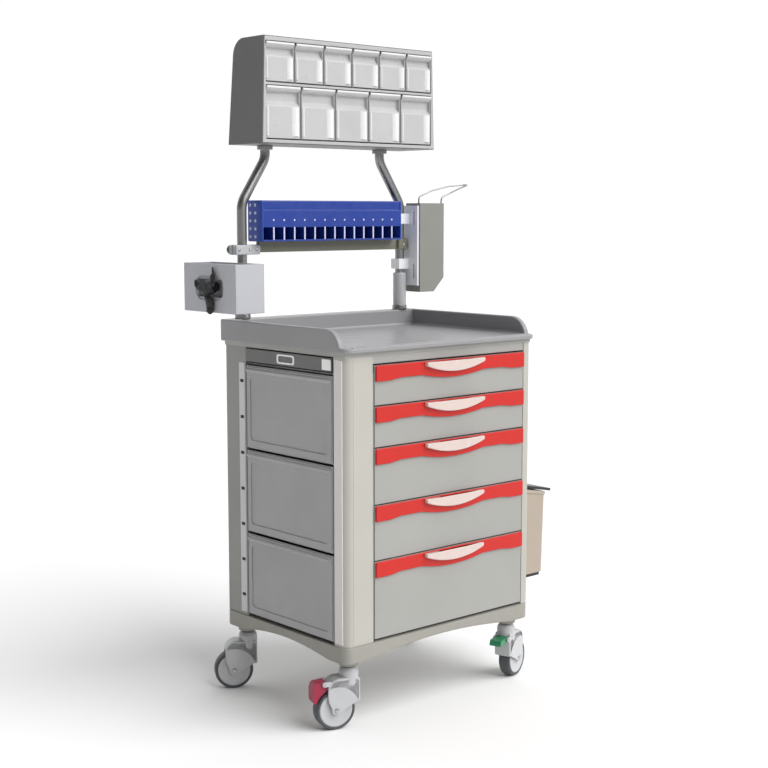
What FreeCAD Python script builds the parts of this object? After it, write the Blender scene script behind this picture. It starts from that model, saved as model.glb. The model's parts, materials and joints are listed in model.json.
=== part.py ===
import FreeCAD, Part

# A hospital procedure trolley: a five-drawer cabinet on four casters, with tilt-out side bins, a pull-out
# side shelf, two masts that carry a pocket rack and a cabinet of tilt bins, and side accessories.
# X runs along the width, the drawers open towards -Y and Z is up, with the floor at z = 0.
# Every size below is measured from the cabinet's front left corner. The origin of the finished parts is the
# middle of the whole object's footprint on the floor, origin_x and origin_y away from that corner.

import math
import os
import re

import Sketcher
from FreeCAD import Placement, Rotation, Vector

SIZES = {
    # whole object
    "cart_width": 625,
    "cart_depth": 475,
    "origin_x": 351.9,
    "origin_y": 251,
    # base deck and cabinet frame
    "deck_bottom": 169,
    "deck_top": 209,
    "deck_overhang": 4,
    "deck_skirt": 14,
    "deck_plate": 12,
    "deck_corner": 22,
    "arch_inset": 62,
    "arch_rise": 18,
    "boss_radius": 24,
    "boss_bottom": 152,
    "frame_top": 898,
    "plate_top": 908,
    "post": 24,
    "post_front_left": 43,
    "post_rear_left": 89,
    "stile_right": 86,
    "sheet": 3,
    "beam_bottom": 879,
    "partition_top": 858,
    "back_setback": 4,
    # worktop
    "top_surface": 920,
    "top_overhang": 8,
    "top_front": 14,
    "guard_top": 963,
    "guard_wide": 16,
    "ledge_deep": 43,
    "guard_front": 12,
    "guard_run": 52,
    "guard_bow": 12,
    # drawers
    "drawer_gap": 3,
    "drawer_left": 90.5,
    "drawer_right": 599.5,
    "front_thick": 18,
    "tray_left": 101.5,
    "tray_right": 588.5,
    "tray_back": 438,
    "tray_wall": 3,
    "tray_drop": 24,
    "tray_lift": 8,
    "trim_thick": 6,
    "trim_high": 38,
    "trim_waist": 33,
    "trim_belly": 11,
    "trim_flat": 45,
    "trim_slope": 80,
    "handle_wide": 198,
    "handle_high": 27,
    "handle_tip": 9,
    "handle_proud": 12,
    "slide_high": 24,
    "slide_wide": 10,
    "slide_front": 20,
    "slide_back": 460,
    # tilt bins in the left side
    "side_bin_front": 46,
    "side_bin_back": 383,
    "side_bin_bottom": 217,
    "side_bin_pitch": 214,
    "side_bin_high": 208,
    "side_bin_rear": 168,
    "side_bin_deep": 80,
    "side_bin_wall": 3,
    "side_pivot": 8,
    "side_pin": 4,
    "fit_gap": 0.05,
    # pull-out side shelf
    "shelf_bottom": 868,
    "shelf_thick": 12,
    "shelf_right": 380,
    "shelf_edge_low": 863,
    "shelf_edge_high": 895,
    "shelf_front": 48,
    "shelf_back": 381,
    "runner_right": 420,
    # masts and the rail between them
    "mast_x": 43,
    "mast_y": 455,
    "mast_top_x": 118,
    "mast_radius": 12.5,
    "mast_wall": 2,
    "mast_bend_low": 1255,
    "mast_bend_high": 1368,
    "mast_bend_radius": 60,
    "mast_collar": 20,
    "sleeve_radius": 17,
    "sleeve_top": 1065,
    "clamp_clear": 0.3,
    "clamp_half": 17,
    "rail_bottom": 1130,
    "rail_top": 1158,
    "rail_half": 7,
    "rail_clamp_left": 30,
    "rail_clamp_right": 50,
    "rail_clamp_low": 1125,
    "rail_clamp_high": 1150,
    # pocket rack
    "rack_left": 76,
    "rack_right": 549,
    "rack_front": 412,
    "rack_back": 474,
    "rack_top": 1262,
    "rack_window_low": 1162,
    "rack_window_high": 1194,
    "rack_wall": 3,
    "rack_pockets": 14,
    "rack_divider": 2.4,
    # cabinet of tilt bins
    "house_left": 23,
    "house_front": 340,
    "house_back": 480,
    "house_bottom": 1400,
    "house_top": 1660,
    "house_taper": 8,
    "house_lean": 14,
    "house_corner": 42,
    "house_bow": 12.3,
    "cell_left": 35,
    "low_cell_back": 462,
    "top_cell_back": 438,
    "divider": 4,
    "low_row_bottom": 1410,
    "low_row_top": 1542,
    "top_row_bottom": 1548,
    "top_row_top": 1648,
    "bin_side_gap": 0.6,
    "bin_wall": 2,
    "bin_pivot_in": 4,
    "bin_pivot_up": 6,
    "bin_pin": 2.5,
    "bin_lip": 5,
    "low_bin_deep": 94,
    "low_bin_rear": 78,
    "top_bin_deep": 76,
    "top_bin_rear": 56,
    # glove dispenser on the left mast
    "glove_left": -90,
    "glove_right": -4,
    "glove_front": 300,
    "glove_back": 520,
    "glove_bottom": 987,
    "glove_top": 1107,
    "glove_sheet": 2,
    "glove_proud": 22,
    "mouth_half_wide": 62,
    "mouth_half_high": 30,
    "holder_arm_half": 15,
    "holder_clamp_half": 20,
    # side pocket on the right mast
    "pocket_left": 608,
    "pocket_right": 700,
    "pocket_front": 400,
    "pocket_back": 458,
    "pocket_bottom": 1012,
    "pocket_top": 1257,
    "pocket_wall": 4,
    "pocket_cut": 38,
    "wire_radius": 2,
    "hook_tip": 815,
    "hook_high": 1309,
    "bracket_left": 602,
    "bracket_front": 404,
    "bracket_back": 472,
    "bracket_bottom": 1030,
    "bracket_top": 1250,
    "bracket_slot_front": 416,
    "bracket_slot_wide": 6,
    "bracket_slot_low": 1050,
    "bracket_slot_high": 1196,
    "bracket_slot_long": 40,
    "bracket_clamp_low": 1076,
    "bracket_clamp_high": 1200,
    "bracket_clamp_tall": 28,
    # waste bin on the right side
    "waste_left": 640,
    "waste_right": 778,
    "waste_front": 75,
    "waste_back": 300,
    "waste_bottom": 254,
    "waste_rim_left": 505,
    "waste_rim_right": 478,
    "waste_wall": 3,
    "lid_thick": 7,
    "lid_overhang": 14,
    "lid_pivot_x": 636,
    "lid_pivot_z": 510,
    "lid_pin": 2,
    "lid_barrel": 4,
    "lid_lug": 5,
    "stay_x": 650,
    "stay_top": 602,
    "stay_bottom": 480,
    # casters
    "wheel_radius": 50,
    "wheel_half": 16,
    "tread_thick": 8,
    "hub_boss_radius": 9,
    "trail": 38,
    "axle_radius": 4,
    "stem_radius": 6,
    "fork_in": 17.5,
    "fork_out": 22.5,
    "fork_top": 128,
    "fender_reach": 22,
    "fender_thick": 7,
    "fender_bottom": 64,
    "crown_radius": 24,
    "crown_top": 151.7,
    "stem_top": 176,
    # pedals
    "pedal_pin": 2.5,
    "brake_pin_x": 69,
    "brake_pin_z": 117,
    "lock_pin_x": -27,
    "lock_pin_z": 114,
    "lug_half": 6,
}
DRAWER_TOPS = [875, 777, 677, 539.5, 403.6]
DRAWER_FLOOR = 215
PEDALS = {"fl": "brake", "fr": "lock"}
CASTERS = {
    # name: (stem x, stem y, direction the wheel trails in, degrees from +X)
    "fl": (45, 45, 162.5),
    "fr": (590, 42, 18),
    "rl": (40, 445, 150),
    "rr": (585, 438, 25),
}

doc = FreeCAD.newDocument("procedure_trolley")
sheet = doc.addObject("Spreadsheet::Sheet", "dims")


def fill_sheet():
    """Writes each driving size to the sheet, one row each, with its alias."""
    cells = dict(SIZES)
    for number, top in enumerate(DRAWER_TOPS, 1):
        cells[f"drawer_top_{number}"] = top
    cells[f"drawer_top_{len(DRAWER_TOPS) + 1}"] = DRAWER_FLOOR - SIZES["drawer_gap"]
    for name, (x, y, angle) in CASTERS.items():
        cells[f"stem_x_{name}"] = x
        cells[f"stem_y_{name}"] = y
        cells[f"trail_angle_{name}"] = angle
    for row, (alias, number) in enumerate(cells.items(), 1):
        sheet.set(f"A{row}", alias)
        sheet.set(f"B{row}", str(number))
        sheet.setAlias(f"B{row}", alias)
    doc.recompute()
    return set(cells)


ALIASES = fill_sheet()


def bound(expression):
    """The expression with each alias in it pointed at the sheet."""
    def point(word):
        return f"dims.{word[0]}" if word[0] in ALIASES else word[0]

    return re.sub(r"[a-z_]+[a-z0-9_]*", point, str(expression))


def value(expression):
    return float(sheet.evalExpression(bound(expression)))


def bind(obj, **properties):
    """Binds properties of obj, such as Length or Placement__Base__x, to expressions of sheet cells."""
    for name, expression in properties.items():
        obj.setExpression(name.replace("__", "."), bound(expression))
    return obj


def box(name, x, y, z):
    """A box between two expressions on each axis."""
    obj = doc.addObject("Part::Box", name)
    return bind(
        obj,
        Length=f"({x[1]}) - ({x[0]})",
        Width=f"({y[1]}) - ({y[0]})",
        Height=f"({z[1]}) - ({z[0]})",
        Placement__Base__x=x[0],
        Placement__Base__y=y[0],
        Placement__Base__z=z[0],
    )


def cylinder(name, axis, radius, start, length):
    """A cylinder from start, three expressions, along "x", "y" or "z"."""
    obj = doc.addObject("Part::Cylinder", name)
    direction = {"x": Vector(1, 0, 0), "y": Vector(0, 1, 0), "z": Vector(0, 0, 1)}[axis]
    obj.Placement = Placement(Vector(), Rotation(Vector(0, 0, 1), direction))
    return bind(
        obj,
        Radius=radius,
        Height=length,
        Placement__Base__x=start[0],
        Placement__Base__y=start[1],
        Placement__Base__z=start[2],
    )


def fuse(name, *shapes):
    obj = doc.addObject("Part::MultiFuse", name)
    obj.Shapes = list(shapes)
    obj.Refine = True
    return obj


def common(name, *shapes):
    obj = doc.addObject("Part::MultiCommon", name)
    obj.Shapes = list(shapes)
    return obj


def cut(name, base, *tools):
    obj = doc.addObject("Part::Cut", name)
    obj.Base = base
    obj.Tool = tools[0] if len(tools) == 1 else fuse(f"{name}_tools", *tools)
    return obj


def group(name, *solids):
    """Separate solids that make up one node."""
    obj = doc.addObject("Part::Compound", name)
    obj.Links = list(solids)
    return obj


def round_edges(name, base, radius, direction, keep=lambda edge: True):
    """Rounds the straight edges of base that run along direction."""
    doc.recompute()
    chosen = []
    for number, edge in enumerate(base.Shape.Edges, 1):
        if not isinstance(edge.Curve, Part.Line) or not keep(edge.CenterOfMass):
            continue
        if edge.tangentAt(edge.FirstParameter).cross(direction).Length < 0.01:
            chosen.append((number, value(radius), value(radius)))
    obj = doc.addObject("Part::Fillet", name)
    obj.Base = base
    obj.Edges = chosen
    return obj


def add_profile(sketch, outline):
    """Draws a closed outline of (u, v) or (u, v, sagitta) corners, each held by expressions of the sheet.
    A corner with a sagitta starts an arc that bulges that far to the left of the way it runs."""
    corners = [Vector(value(c[0]), value(c[1]), 0) for c in outline]
    starts = []
    for number, corner in enumerate(outline):
        here = corners[number]
        there = corners[(number + 1) % len(corners)]
        if len(corner) == 2:
            geometry = Part.LineSegment(here, there)
        else:
            run = there - here
            left = Vector(-run.y, run.x, 0).normalize()
            geometry = Part.Arc(here, (here + there) * 0.5 + left * value(corner[2]), there)
        index = sketch.addGeometry(geometry, False)
        forward = sketch.Geometry[index].StartPoint.distanceToPoint(here) < 1e-6
        starts.append((index, 1 if forward else 2, 2 if forward else 1))
    for number, corner in enumerate(outline):
        index, first, last = starts[number]
        following = starts[(number + 1) % len(starts)]
        sketch.addConstraint(Sketcher.Constraint("Coincident", index, last, following[0], following[1]))
        for kind, expression, place in zip(("DistanceX", "DistanceY"), corner, corners[number]):
            held = sketch.addConstraint(Sketcher.Constraint(kind, -1, 1, index, first, place))
            sketch.renameConstraint(held, f"{kind}_{number}")
            sketch.setExpression(f"Constraints.{kind}_{number}", bound(expression))
        if len(corner) == 3:
            after = outline[(number + 1) % len(outline)]
            chord = f"((({after[0]}) - ({corner[0]}))^2 + (({after[1]}) - ({corner[1]}))^2)"
            radius = f"({chord} / 4 + ({corner[2]})^2) / (2 * abs({corner[2]}))"
            held = sketch.addConstraint(Sketcher.Constraint("Radius", index, value(radius)))
            sketch.renameConstraint(held, f"Radius_{number}")
            sketch.setExpression(f"Constraints.Radius_{number}", bound(radius))


def extrude(name, plane, outline, start, end):
    """A body padded from an outline on the XY, XZ or YZ plane, between two places along its third axis."""
    body = doc.addObject("PartDesign::Body", name)
    sketch = body.newObject("Sketcher::SketchObject", f"{name}_sketch")
    support = [o for o in body.Origin.OriginFeatures if o.Role == f"{plane}_Plane"][0]
    sketch.AttachmentSupport = [(support, "")]
    sketch.MapMode = "FlatFace"
    # The XZ plane's normal points along -Y, so a pad from it grows towards the front.
    offset = f"-({end})" if plane == "XZ" else start
    bind(sketch, AttachmentOffset__Base__z=offset)
    add_profile(sketch, outline)
    pad = body.newObject("PartDesign::Pad", f"{name}_pad")
    pad.Profile = sketch
    bind(pad, Length=f"({end}) - ({start})")
    body.Tip = pad
    return body


def bent_rod(name, points, radius, bend):
    """A round rod along straight runs joined by tangent arcs. bend is the radius of the arcs, or less where
    the runs are too short for it."""
    places = [Vector(*[value(c) for c in point]) for point in points]
    edges = []
    begin = places[0]
    for before, corner, after in zip(places, places[1:], places[2:]):
        back = (before - corner).normalize()
        ahead = (after - corner).normalize()
        half = back.getAngle(ahead) / 2
        shorter = min((before - corner).Length, (after - corner).Length)
        reach = min(value(bend) / math.tan(half), 0.45 * shorter)
        arc_radius = reach * math.tan(half)
        inward = (back + ahead).normalize()
        centre = corner + inward * (arc_radius / math.sin(half))
        arc_start = corner + back * reach
        arc_end = corner + ahead * reach
        edges.append(Part.LineSegment(begin, arc_start).toShape())
        edges.append(Part.Arc(arc_start, centre - inward * arc_radius, arc_end).toShape())
        begin = arc_end
    edges.append(Part.LineSegment(begin, places[-1]).toShape())
    path = Part.Wire(edges)
    heading = places[1] - places[0]
    ring = Part.Wire([Part.Circle(places[0], heading, value(radius)).toShape()])
    rod = doc.addObject("Part::Feature", name)
    rod.Shape = path.makePipeShell([ring], True, True)
    return rod


NODES = {}


def node(label, obj):
    """Names a finished sub-part and puts it in the row's frame."""
    obj.Label = label
    bind(obj, Placement__Base__x="-origin_x", Placement__Base__y="-origin_y")
    NODES[label] = obj


def make_base_deck():
    """The moulded base: a plate with a boss over each caster, and a skirt on each side that arches up
    between the corners."""
    whole_x = ("-deck_overhang", "cart_width + deck_overhang")
    whole_y = ("-deck_overhang", "cart_depth + deck_overhang")
    outer = box("deck_outer", whole_x, whole_y, ("deck_bottom", "deck_top"))
    rounded = round_edges("deck_rounded", outer, "deck_corner", Vector(0, 0, 1))
    inner_x = ("deck_skirt - deck_overhang", "cart_width + deck_overhang - deck_skirt")
    inner_y = ("deck_skirt - deck_overhang", "cart_depth + deck_overhang - deck_skirt")
    skirt_z = ("deck_bottom", "deck_top - deck_plate")
    arches = []
    for axis, span in (("y", "cart_width"), ("x", "cart_depth")):
        radius = f"(({span} / 2 - arch_inset)^2 + arch_rise^2) / (2 * arch_rise)"
        middle = f"deck_bottom + arch_rise - ({radius})"
        start = (f"{span} / 2", "-20", middle) if axis == "y" else ("-20", f"{span} / 2", middle)
        length = "cart_depth + 40" if axis == "y" else "cart_width + 40"
        arches.append(cylinder(f"deck_arch_{axis}", axis, radius, start, length))
    arched = cut("deck_arched", rounded, *arches)
    sides = {
        "front": (whole_x, (whole_y[0], inner_y[0])),
        "back": (whole_x, (inner_y[1], whole_y[1])),
        "left": ((whole_x[0], inner_x[0]), inner_y),
        "right": ((inner_x[1], whole_x[1]), inner_y),
    }
    skirts = []
    for side, (x, y) in sides.items():
        skirts.append(common(f"skirt_{side}", arched, box(f"skirt_{side}_zone", x, y, skirt_z)))
    plate = common("deck_plate", rounded, box("plate_zone", whole_x, whole_y, (skirt_z[1], "deck_top")))
    bosses = []
    bores = []
    for name in CASTERS:
        place = (f"stem_x_{name}", f"stem_y_{name}", "boss_bottom")
        bosses.append(cylinder(f"boss_{name}", "z", "boss_radius", place, "deck_top - boss_bottom - 2"))
        below = (place[0], place[1], "boss_bottom - 1")
        depth = "stem_top - boss_bottom + 3"
        bores.append(cylinder(f"boss_bore_{name}", "z", "stem_radius + fit_gap", below, depth))
    solid = cut("deck_bored", fuse("deck_with_bosses", plate, *bosses), *bores)
    node("base_deck", group("base_deck", solid, *skirts))


def make_frame():
    """The four corner posts, the wide front left stile, the panels and the plate that closes the top."""
    high = ("deck_top", "frame_top")
    right_x = ("cart_width - post", "cart_width")
    front_left = box("post_fl", ("0", "post"), ("0", "post_front_left"), high)
    rear_left = box("post_rl", ("0", "post"), ("cart_depth - post_rear_left", "cart_depth"), high)
    front_right = box("post_fr", right_x, ("0", "post"), high)
    rear_right = box("post_rr", right_x, ("cart_depth - post", "cart_depth"), high)
    pivots = []
    for number in range(3):
        z = f"side_bin_bottom + side_pivot + {number} * side_bin_pitch"
        start = ("side_pivot", "post_front_left - 6", z)
        length = "cart_depth - post_rear_left - post_front_left + 12"
        pivots.append(cylinder(f"post_pivot_{number}", "y", "side_pin + fit_gap", start, length))
    left_posts = [
        cut("post_fl_bored", front_left, *pivots),
        cut("post_rl_bored", rear_left, *[doc.copyObject(p) for p in pivots]),
    ]
    node("corner_posts", group("corner_posts", *left_posts, front_right, rear_right))
    node("front_stile", group("front_stile", box("stile", ("post", "stile_right"), ("0", "post"), high)))
    right = box(
        "panel_right",
        ("cart_width - sheet", "cart_width"),
        ("post", "cart_depth - post"),
        high,
    )
    back_y = ("cart_depth - sheet - back_setback", "cart_depth - back_setback")
    back = box("panel_back", ("post", "cart_width - post"), back_y, high)
    partition = box(
        "panel_partition",
        ("stile_right", "stile_right + sheet"),
        ("2", back_y[0]),
        ("deck_top", "partition_top"),
    )
    node("cabinet_panels", group("cabinet_panels", right, back, partition))
    plate = box("top_plate", ("0", "cart_width"), ("0", "cart_depth"), ("frame_top", "plate_top"))
    beam = box("top_beam", ("stile_right", "cart_width - post"), ("2", "20"), ("beam_bottom", "frame_top"))
    across = ("post", "runner_right")
    edges = {
        "front": (("shelf_front - 7", "shelf_front - 1"), ("shelf_front - 7", "shelf_front + 6")),
        "back": (("shelf_back + 1", "shelf_back + 5"), ("shelf_back - 6", "shelf_back + 5")),
    }
    runners = []
    for side, (wall, ledge) in edges.items():
        runners.append(box(f"runner_{side}", across, wall, ("shelf_bottom - 6", "frame_top")))
        runners.append(box(f"runner_ledge_{side}", across, ledge, ("shelf_bottom - 6", "shelf_bottom - 1")))
    node("top_frame", fuse("top_frame", plate, beam, *runners))


def make_worktop():
    """The moulded worktop: a slab with a guard along the left, back and right that drops to the front."""
    slab = box(
        "worktop_slab",
        ("-top_overhang", "cart_width + top_overhang"),
        ("-top_front", "cart_depth + top_overhang"),
        ("plate_top", "top_surface"),
    )
    slab = round_edges("worktop_corners", slab, "deck_corner", Vector(0, 0, 1), lambda p: p.y < 0)
    ledge = box(
        "worktop_ledge",
        ("-top_overhang", "cart_width + top_overhang"),
        ("cart_depth + top_overhang - ledge_deep", "cart_depth + top_overhang"),
        ("plate_top", "guard_top"),
    )
    outline = [
        ("guard_front", "plate_top"),
        ("cart_depth", "plate_top"),
        ("cart_depth", "guard_top"),
        ("guard_front + guard_run", "guard_top", "-guard_bow"),
        ("guard_front", "top_surface"),
    ]
    left = extrude("guard_left", "YZ", outline, "-top_overhang", "guard_wide - top_overhang")
    right = extrude(
        "guard_right",
        "YZ",
        outline,
        "cart_width + top_overhang - guard_wide",
        "cart_width + top_overhang",
    )
    node("worktop", fuse("worktop", slab, ledge, left, right))


def make_drawers():
    """Five drawers. Each is a tray with its front, a coloured strip along the top edge and a finger grip."""
    middle = "(drawer_left + drawer_right) / 2"
    rails = []
    for number in range(1, len(DRAWER_TOPS) + 1):
        top = f"drawer_top_{number}"
        bottom = f"drawer_top_{number + 1} + drawer_gap"
        front = box(f"front_{number}", ("drawer_left", "drawer_right"), ("0", "front_thick"), (bottom, top))
        tray = box(
            f"tray_{number}",
            ("tray_left", "tray_right"),
            ("front_thick", "tray_back"),
            (f"{bottom} + tray_lift", f"{top} - tray_drop"),
        )
        inside = box(
            f"tray_inside_{number}",
            ("tray_left + tray_wall", "tray_right - tray_wall"),
            ("front_thick + tray_wall", "tray_back - tray_wall"),
            (f"{bottom} + tray_lift + tray_wall", top),
        )
        solid = fuse(f"drawer_solid_{number}", front, tray)
        node(f"drawer_{number}", cut(f"drawer_{number}", solid, inside))
        node(f"drawer_trim_{number}", make_trim(number, middle, top))
        node(f"drawer_handle_{number}", make_handle(number, middle, top))
        for side, x in (("left", "stile_right + sheet"), ("right", "cart_width - post - slide_wide")):
            low = f"{bottom} + tray_lift + 6"
            high = f"{low} + slide_high"
            across = (x, f"{x} + slide_wide")
            rails.append(box(f"rail_{side}_{number}", across, ("slide_front", "slide_back"), (low, high)))
    node("drawer_slides", group("drawer_slides", *rails))


def make_trim(number, middle, top):
    """A coloured strip whose lower edge rises to a waist on each side and bellies down under the grip."""
    left = "(drawer_left + 1)"
    right = "(drawer_right - 1)"
    low = f"{top} - trim_high"
    waist = f"{top} - trim_waist"
    outline = [
        (left, low),
        (f"{left} + trim_flat", low),
        (f"{left} + trim_slope", waist),
        (f"{middle} - handle_wide / 2 - 6", waist, "-trim_belly"),
        (f"{middle} + handle_wide / 2 + 6", waist),
        (f"{right} - trim_slope", waist),
        (f"{right} - trim_flat", low),
        (right, low),
        (right, top),
        (left, top),
    ]
    return extrude(f"drawer_trim_{number}", "XZ", outline, "-trim_thick", "0")


def make_handle(number, middle, top):
    """A crescent grip with blunt ends, flat along the top and curved below, hollow behind its front wall."""
    half = "handle_wide / 2"
    upper = f"{top} - 2"
    tip = f"{top} - 2 - handle_tip"
    outline = [
        (f"{middle} - {half}", upper),
        (f"{middle} - {half}", tip, "handle_tip - handle_high"),
        (f"{middle} + {half}", tip),
        (f"{middle} + {half}", upper),
    ]
    crescent = extrude(f"grip_{number}", "XZ", outline, "-trim_thick - handle_proud", "-trim_thick")
    finger = box(
        f"grip_finger_{number}",
        (f"{middle} - {half} / 2", f"{middle} + {half} / 2"),
        ("-trim_thick - handle_proud + 4", "-trim_thick + 1"),
        (f"{top} - handle_high + 6", f"{top} + 1"),
    )
    return cut(f"drawer_handle_{number}", crescent, finger)


def make_side_bins():
    """Three bins that tilt out of the left side on pins in the posts."""
    for number in range(3):
        bottom = f"(side_bin_bottom + {number} * side_bin_pitch)"
        outer = [
            ("0", bottom),
            ("side_bin_deep", bottom),
            ("side_bin_deep", f"{bottom} + side_bin_rear"),
            ("0", f"{bottom} + side_bin_high"),
        ]
        wall = "side_bin_wall"
        inner = [
            (wall, f"{bottom} + {wall}"),
            (f"side_bin_deep - {wall}", f"{bottom} + {wall}"),
            (f"side_bin_deep - {wall}", f"{bottom} + side_bin_high + 1"),
            (wall, f"{bottom} + side_bin_high + 1"),
        ]
        name = f"side_bin_{number + 1}"
        block = extrude(f"{name}_block", "XZ", outer, "side_bin_front", "side_bin_back")
        hollow = extrude(f"{name}_hollow", "XZ", inner, f"side_bin_front + {wall}", f"side_bin_back - {wall}")
        pins = []
        for side, y in (("front", "side_bin_front - 7"), ("back", "side_bin_back")):
            place = ("side_pivot", y, f"{bottom} + side_pivot")
            pins.append(cylinder(f"{name}_pin_{side}", "y", "side_pin", place, "7"))
        node(name, fuse(name, cut(f"{name}_shell", block, hollow), *pins))


def make_side_shelf():
    """The shelf that slides out of the left side, above the bins."""
    board = box(
        "shelf_board",
        ("6", "shelf_right"),
        ("shelf_front", "shelf_back"),
        ("shelf_bottom", "shelf_bottom + shelf_thick"),
    )
    edge = box(
        "shelf_edge",
        ("-3", "6"),
        ("shelf_front - 1", "shelf_back + 1"),
        ("shelf_edge_low", "shelf_edge_high"),
    )
    node("side_shelf", fuse("side_shelf", board, edge))


def make_masts():
    """Two tube masts that stand on the worktop's ledge, bend inwards and carry the bin cabinet."""
    masts = []
    ends = {"left": ("mast_x", "mast_top_x"), "right": ("cart_width - mast_x", "cart_width - mast_top_x")}
    for side, (foot, head) in ends.items():
        route = [
            (foot, "mast_y", "guard_top"),
            (foot, "mast_y", "mast_bend_low"),
            (head, "mast_y", "mast_bend_high"),
            (head, "mast_y", "house_bottom"),
        ]
        tube = bent_rod(f"mast_outer_{side}", route, "mast_radius", "mast_bend_radius")
        hollow = bent_rod(f"mast_inner_{side}", route, "mast_radius - mast_wall", "mast_bend_radius")
        collar = cylinder(f"mast_collar_{side}", "z", "mast_collar", (foot, "mast_y", "guard_top"), "12")
        under = (head, "mast_y", "house_bottom - 10")
        flange = cylinder(f"mast_flange_{side}", "z", "mast_collar", under, "10")
        pieces = [tube, collar, flange]
        if side == "right":
            start = (foot, "mast_y", "guard_top")
            pieces.append(cylinder("mast_sleeve", "z", "sleeve_radius", start, "sleeve_top - guard_top"))
        masts.append(cut(f"mast_{side}", fuse(f"mast_solid_{side}", *pieces), hollow))
    node("masts", group("masts", *masts))


def clamp(name, side, z, left="clamp_half", right="clamp_half"):
    """A block that grips a mast, with a bore for it. left and right are how far it reaches from the mast."""
    x = "mast_x" if side == "left" else "cart_width - mast_x"
    across = (f"{x} - {left}", f"{x} + {right}")
    block = box(f"{name}_block", across, ("mast_y - clamp_half", "mast_y + clamp_half"), z)
    start = (x, "mast_y", f"{z[0]} - 1")
    bore = cylinder(f"{name}_bore", "z", "mast_radius + clamp_clear", start, f"({z[1]}) - ({z[0]}) + 2")
    return block, bore


def make_mast_rail():
    """The cross rail that carries the pocket rack, and the clamps that hold it on the masts."""
    bar = box(
        "rail_bar",
        ("mast_x + rail_clamp_right", "cart_width - mast_x - clamp_half"),
        ("mast_y - rail_half", "mast_y + rail_half"),
        ("rail_bottom", "rail_top"),
    )
    clamp_z = ("rail_clamp_low", "rail_clamp_high")
    left = cut("rail_left", *clamp("rail_left", "left", clamp_z, "rail_clamp_left", "rail_clamp_right"))
    right = cut("rail_right", *clamp("rail_right", "right", ("rail_bottom", "rail_top")))
    node("mast_rail", group("mast_rail", bar, left, right))


def make_pocket_rack():
    """A rack of narrow pockets, open at the top, with a window low in the front of each."""
    outer = box(
        "rack_outer",
        ("rack_left", "rack_right"),
        ("rack_front", "rack_back"),
        ("rail_top", "rack_top"),
    )
    inside_x = ("rack_left + rack_wall", "rack_right - rack_wall")
    inside_y = ("rack_front + 2 * rack_wall", "rack_back - rack_wall")
    inside = box("rack_inside", inside_x, inside_y, ("rail_top + rack_wall", "rack_top + 1"))
    window_z = ("rack_window_low", "rack_window_high")
    window = box("rack_window", inside_x, ("rack_front - 1", inside_y[0]), window_z)
    shell = cut("rack_shell", outer, inside, window)
    dividers = []
    pitch = "((rack_right - rack_left - 2 * rack_wall + rack_divider) / rack_pockets)"
    for number in range(1, int(SIZES["rack_pockets"])):
        x = f"rack_left + rack_wall + {number} * {pitch} - rack_divider"
        upper = box(
            f"rack_divider_{number}",
            (x, f"{x} + rack_divider"),
            inside_y,
            ("rail_top + rack_wall", "rack_top - 4"),
        )
        lower = box(
            f"rack_divider_front_{number}",
            (x, f"{x} + rack_divider"),
            ("rack_front + 1", inside_y[0]),
            window_z,
        )
        dividers.append(fuse(f"rack_wall_{number}", upper, lower))
    node("pocket_rack", group("pocket_rack", shell, *dividers))


def row_cells(count):
    """The left edge and width of each cell in a row of bins, as expressions."""
    span = "(cart_width - 2 * cell_left)"
    width = f"(({span} - {count - 1} * divider) / {count})"
    return [(f"cell_left + {n} * ({width} + divider)", width) for n in range(count)]


def make_bin_cabinet():
    """The cabinet over the worktop, with a row of five bins under a row of six, each on pins."""
    outline = [
        ("house_left", "house_bottom"),
        ("cart_width - house_left", "house_bottom"),
        ("cart_width - house_left - house_taper", "house_top"),
        ("house_left + house_taper", "house_top"),
    ]
    tapered = extrude("house_tapered", "XZ", outline, "house_front - 1", "house_back + 1")
    upper_back = "house_back - house_lean"
    side = [
        ("house_front", "house_bottom"),
        ("house_back", "house_bottom"),
        (upper_back, "house_top - house_corner", "-house_bow"),
        (f"{upper_back} - house_corner", "house_top"),
        ("house_front", "house_top"),
    ]
    cheek = extrude("house_cheek", "YZ", side, "house_left - 1", "cart_width - house_left + 1")
    blank = common("house_blank", tapered, cheek)
    cells = []
    for row, count in (("low", 5), ("top", 6)):
        z = (f"{row}_row_bottom", f"{row}_row_top")
        for number, (left, width) in enumerate(row_cells(count), 1):
            name = f"{row}_bin_{number}"
            deep = ("house_front - 1", f"{row}_cell_back")
            cells.append(box(f"{name}_cell", (left, f"{left} + {width}"), deep, z))
            make_tilt_bin(name, row, left, width)
        start = ("cell_left - 3", "house_front + bin_pivot_in", f"{row}_row_bottom + bin_pivot_up")
        length = "cart_width - 2 * cell_left + 6"
        cells.append(cylinder(f"{row}_pivot_bore", "x", "bin_pin + fit_gap", start, length))
    node("bin_cabinet", cut("bin_cabinet", blank, *cells))


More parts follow.
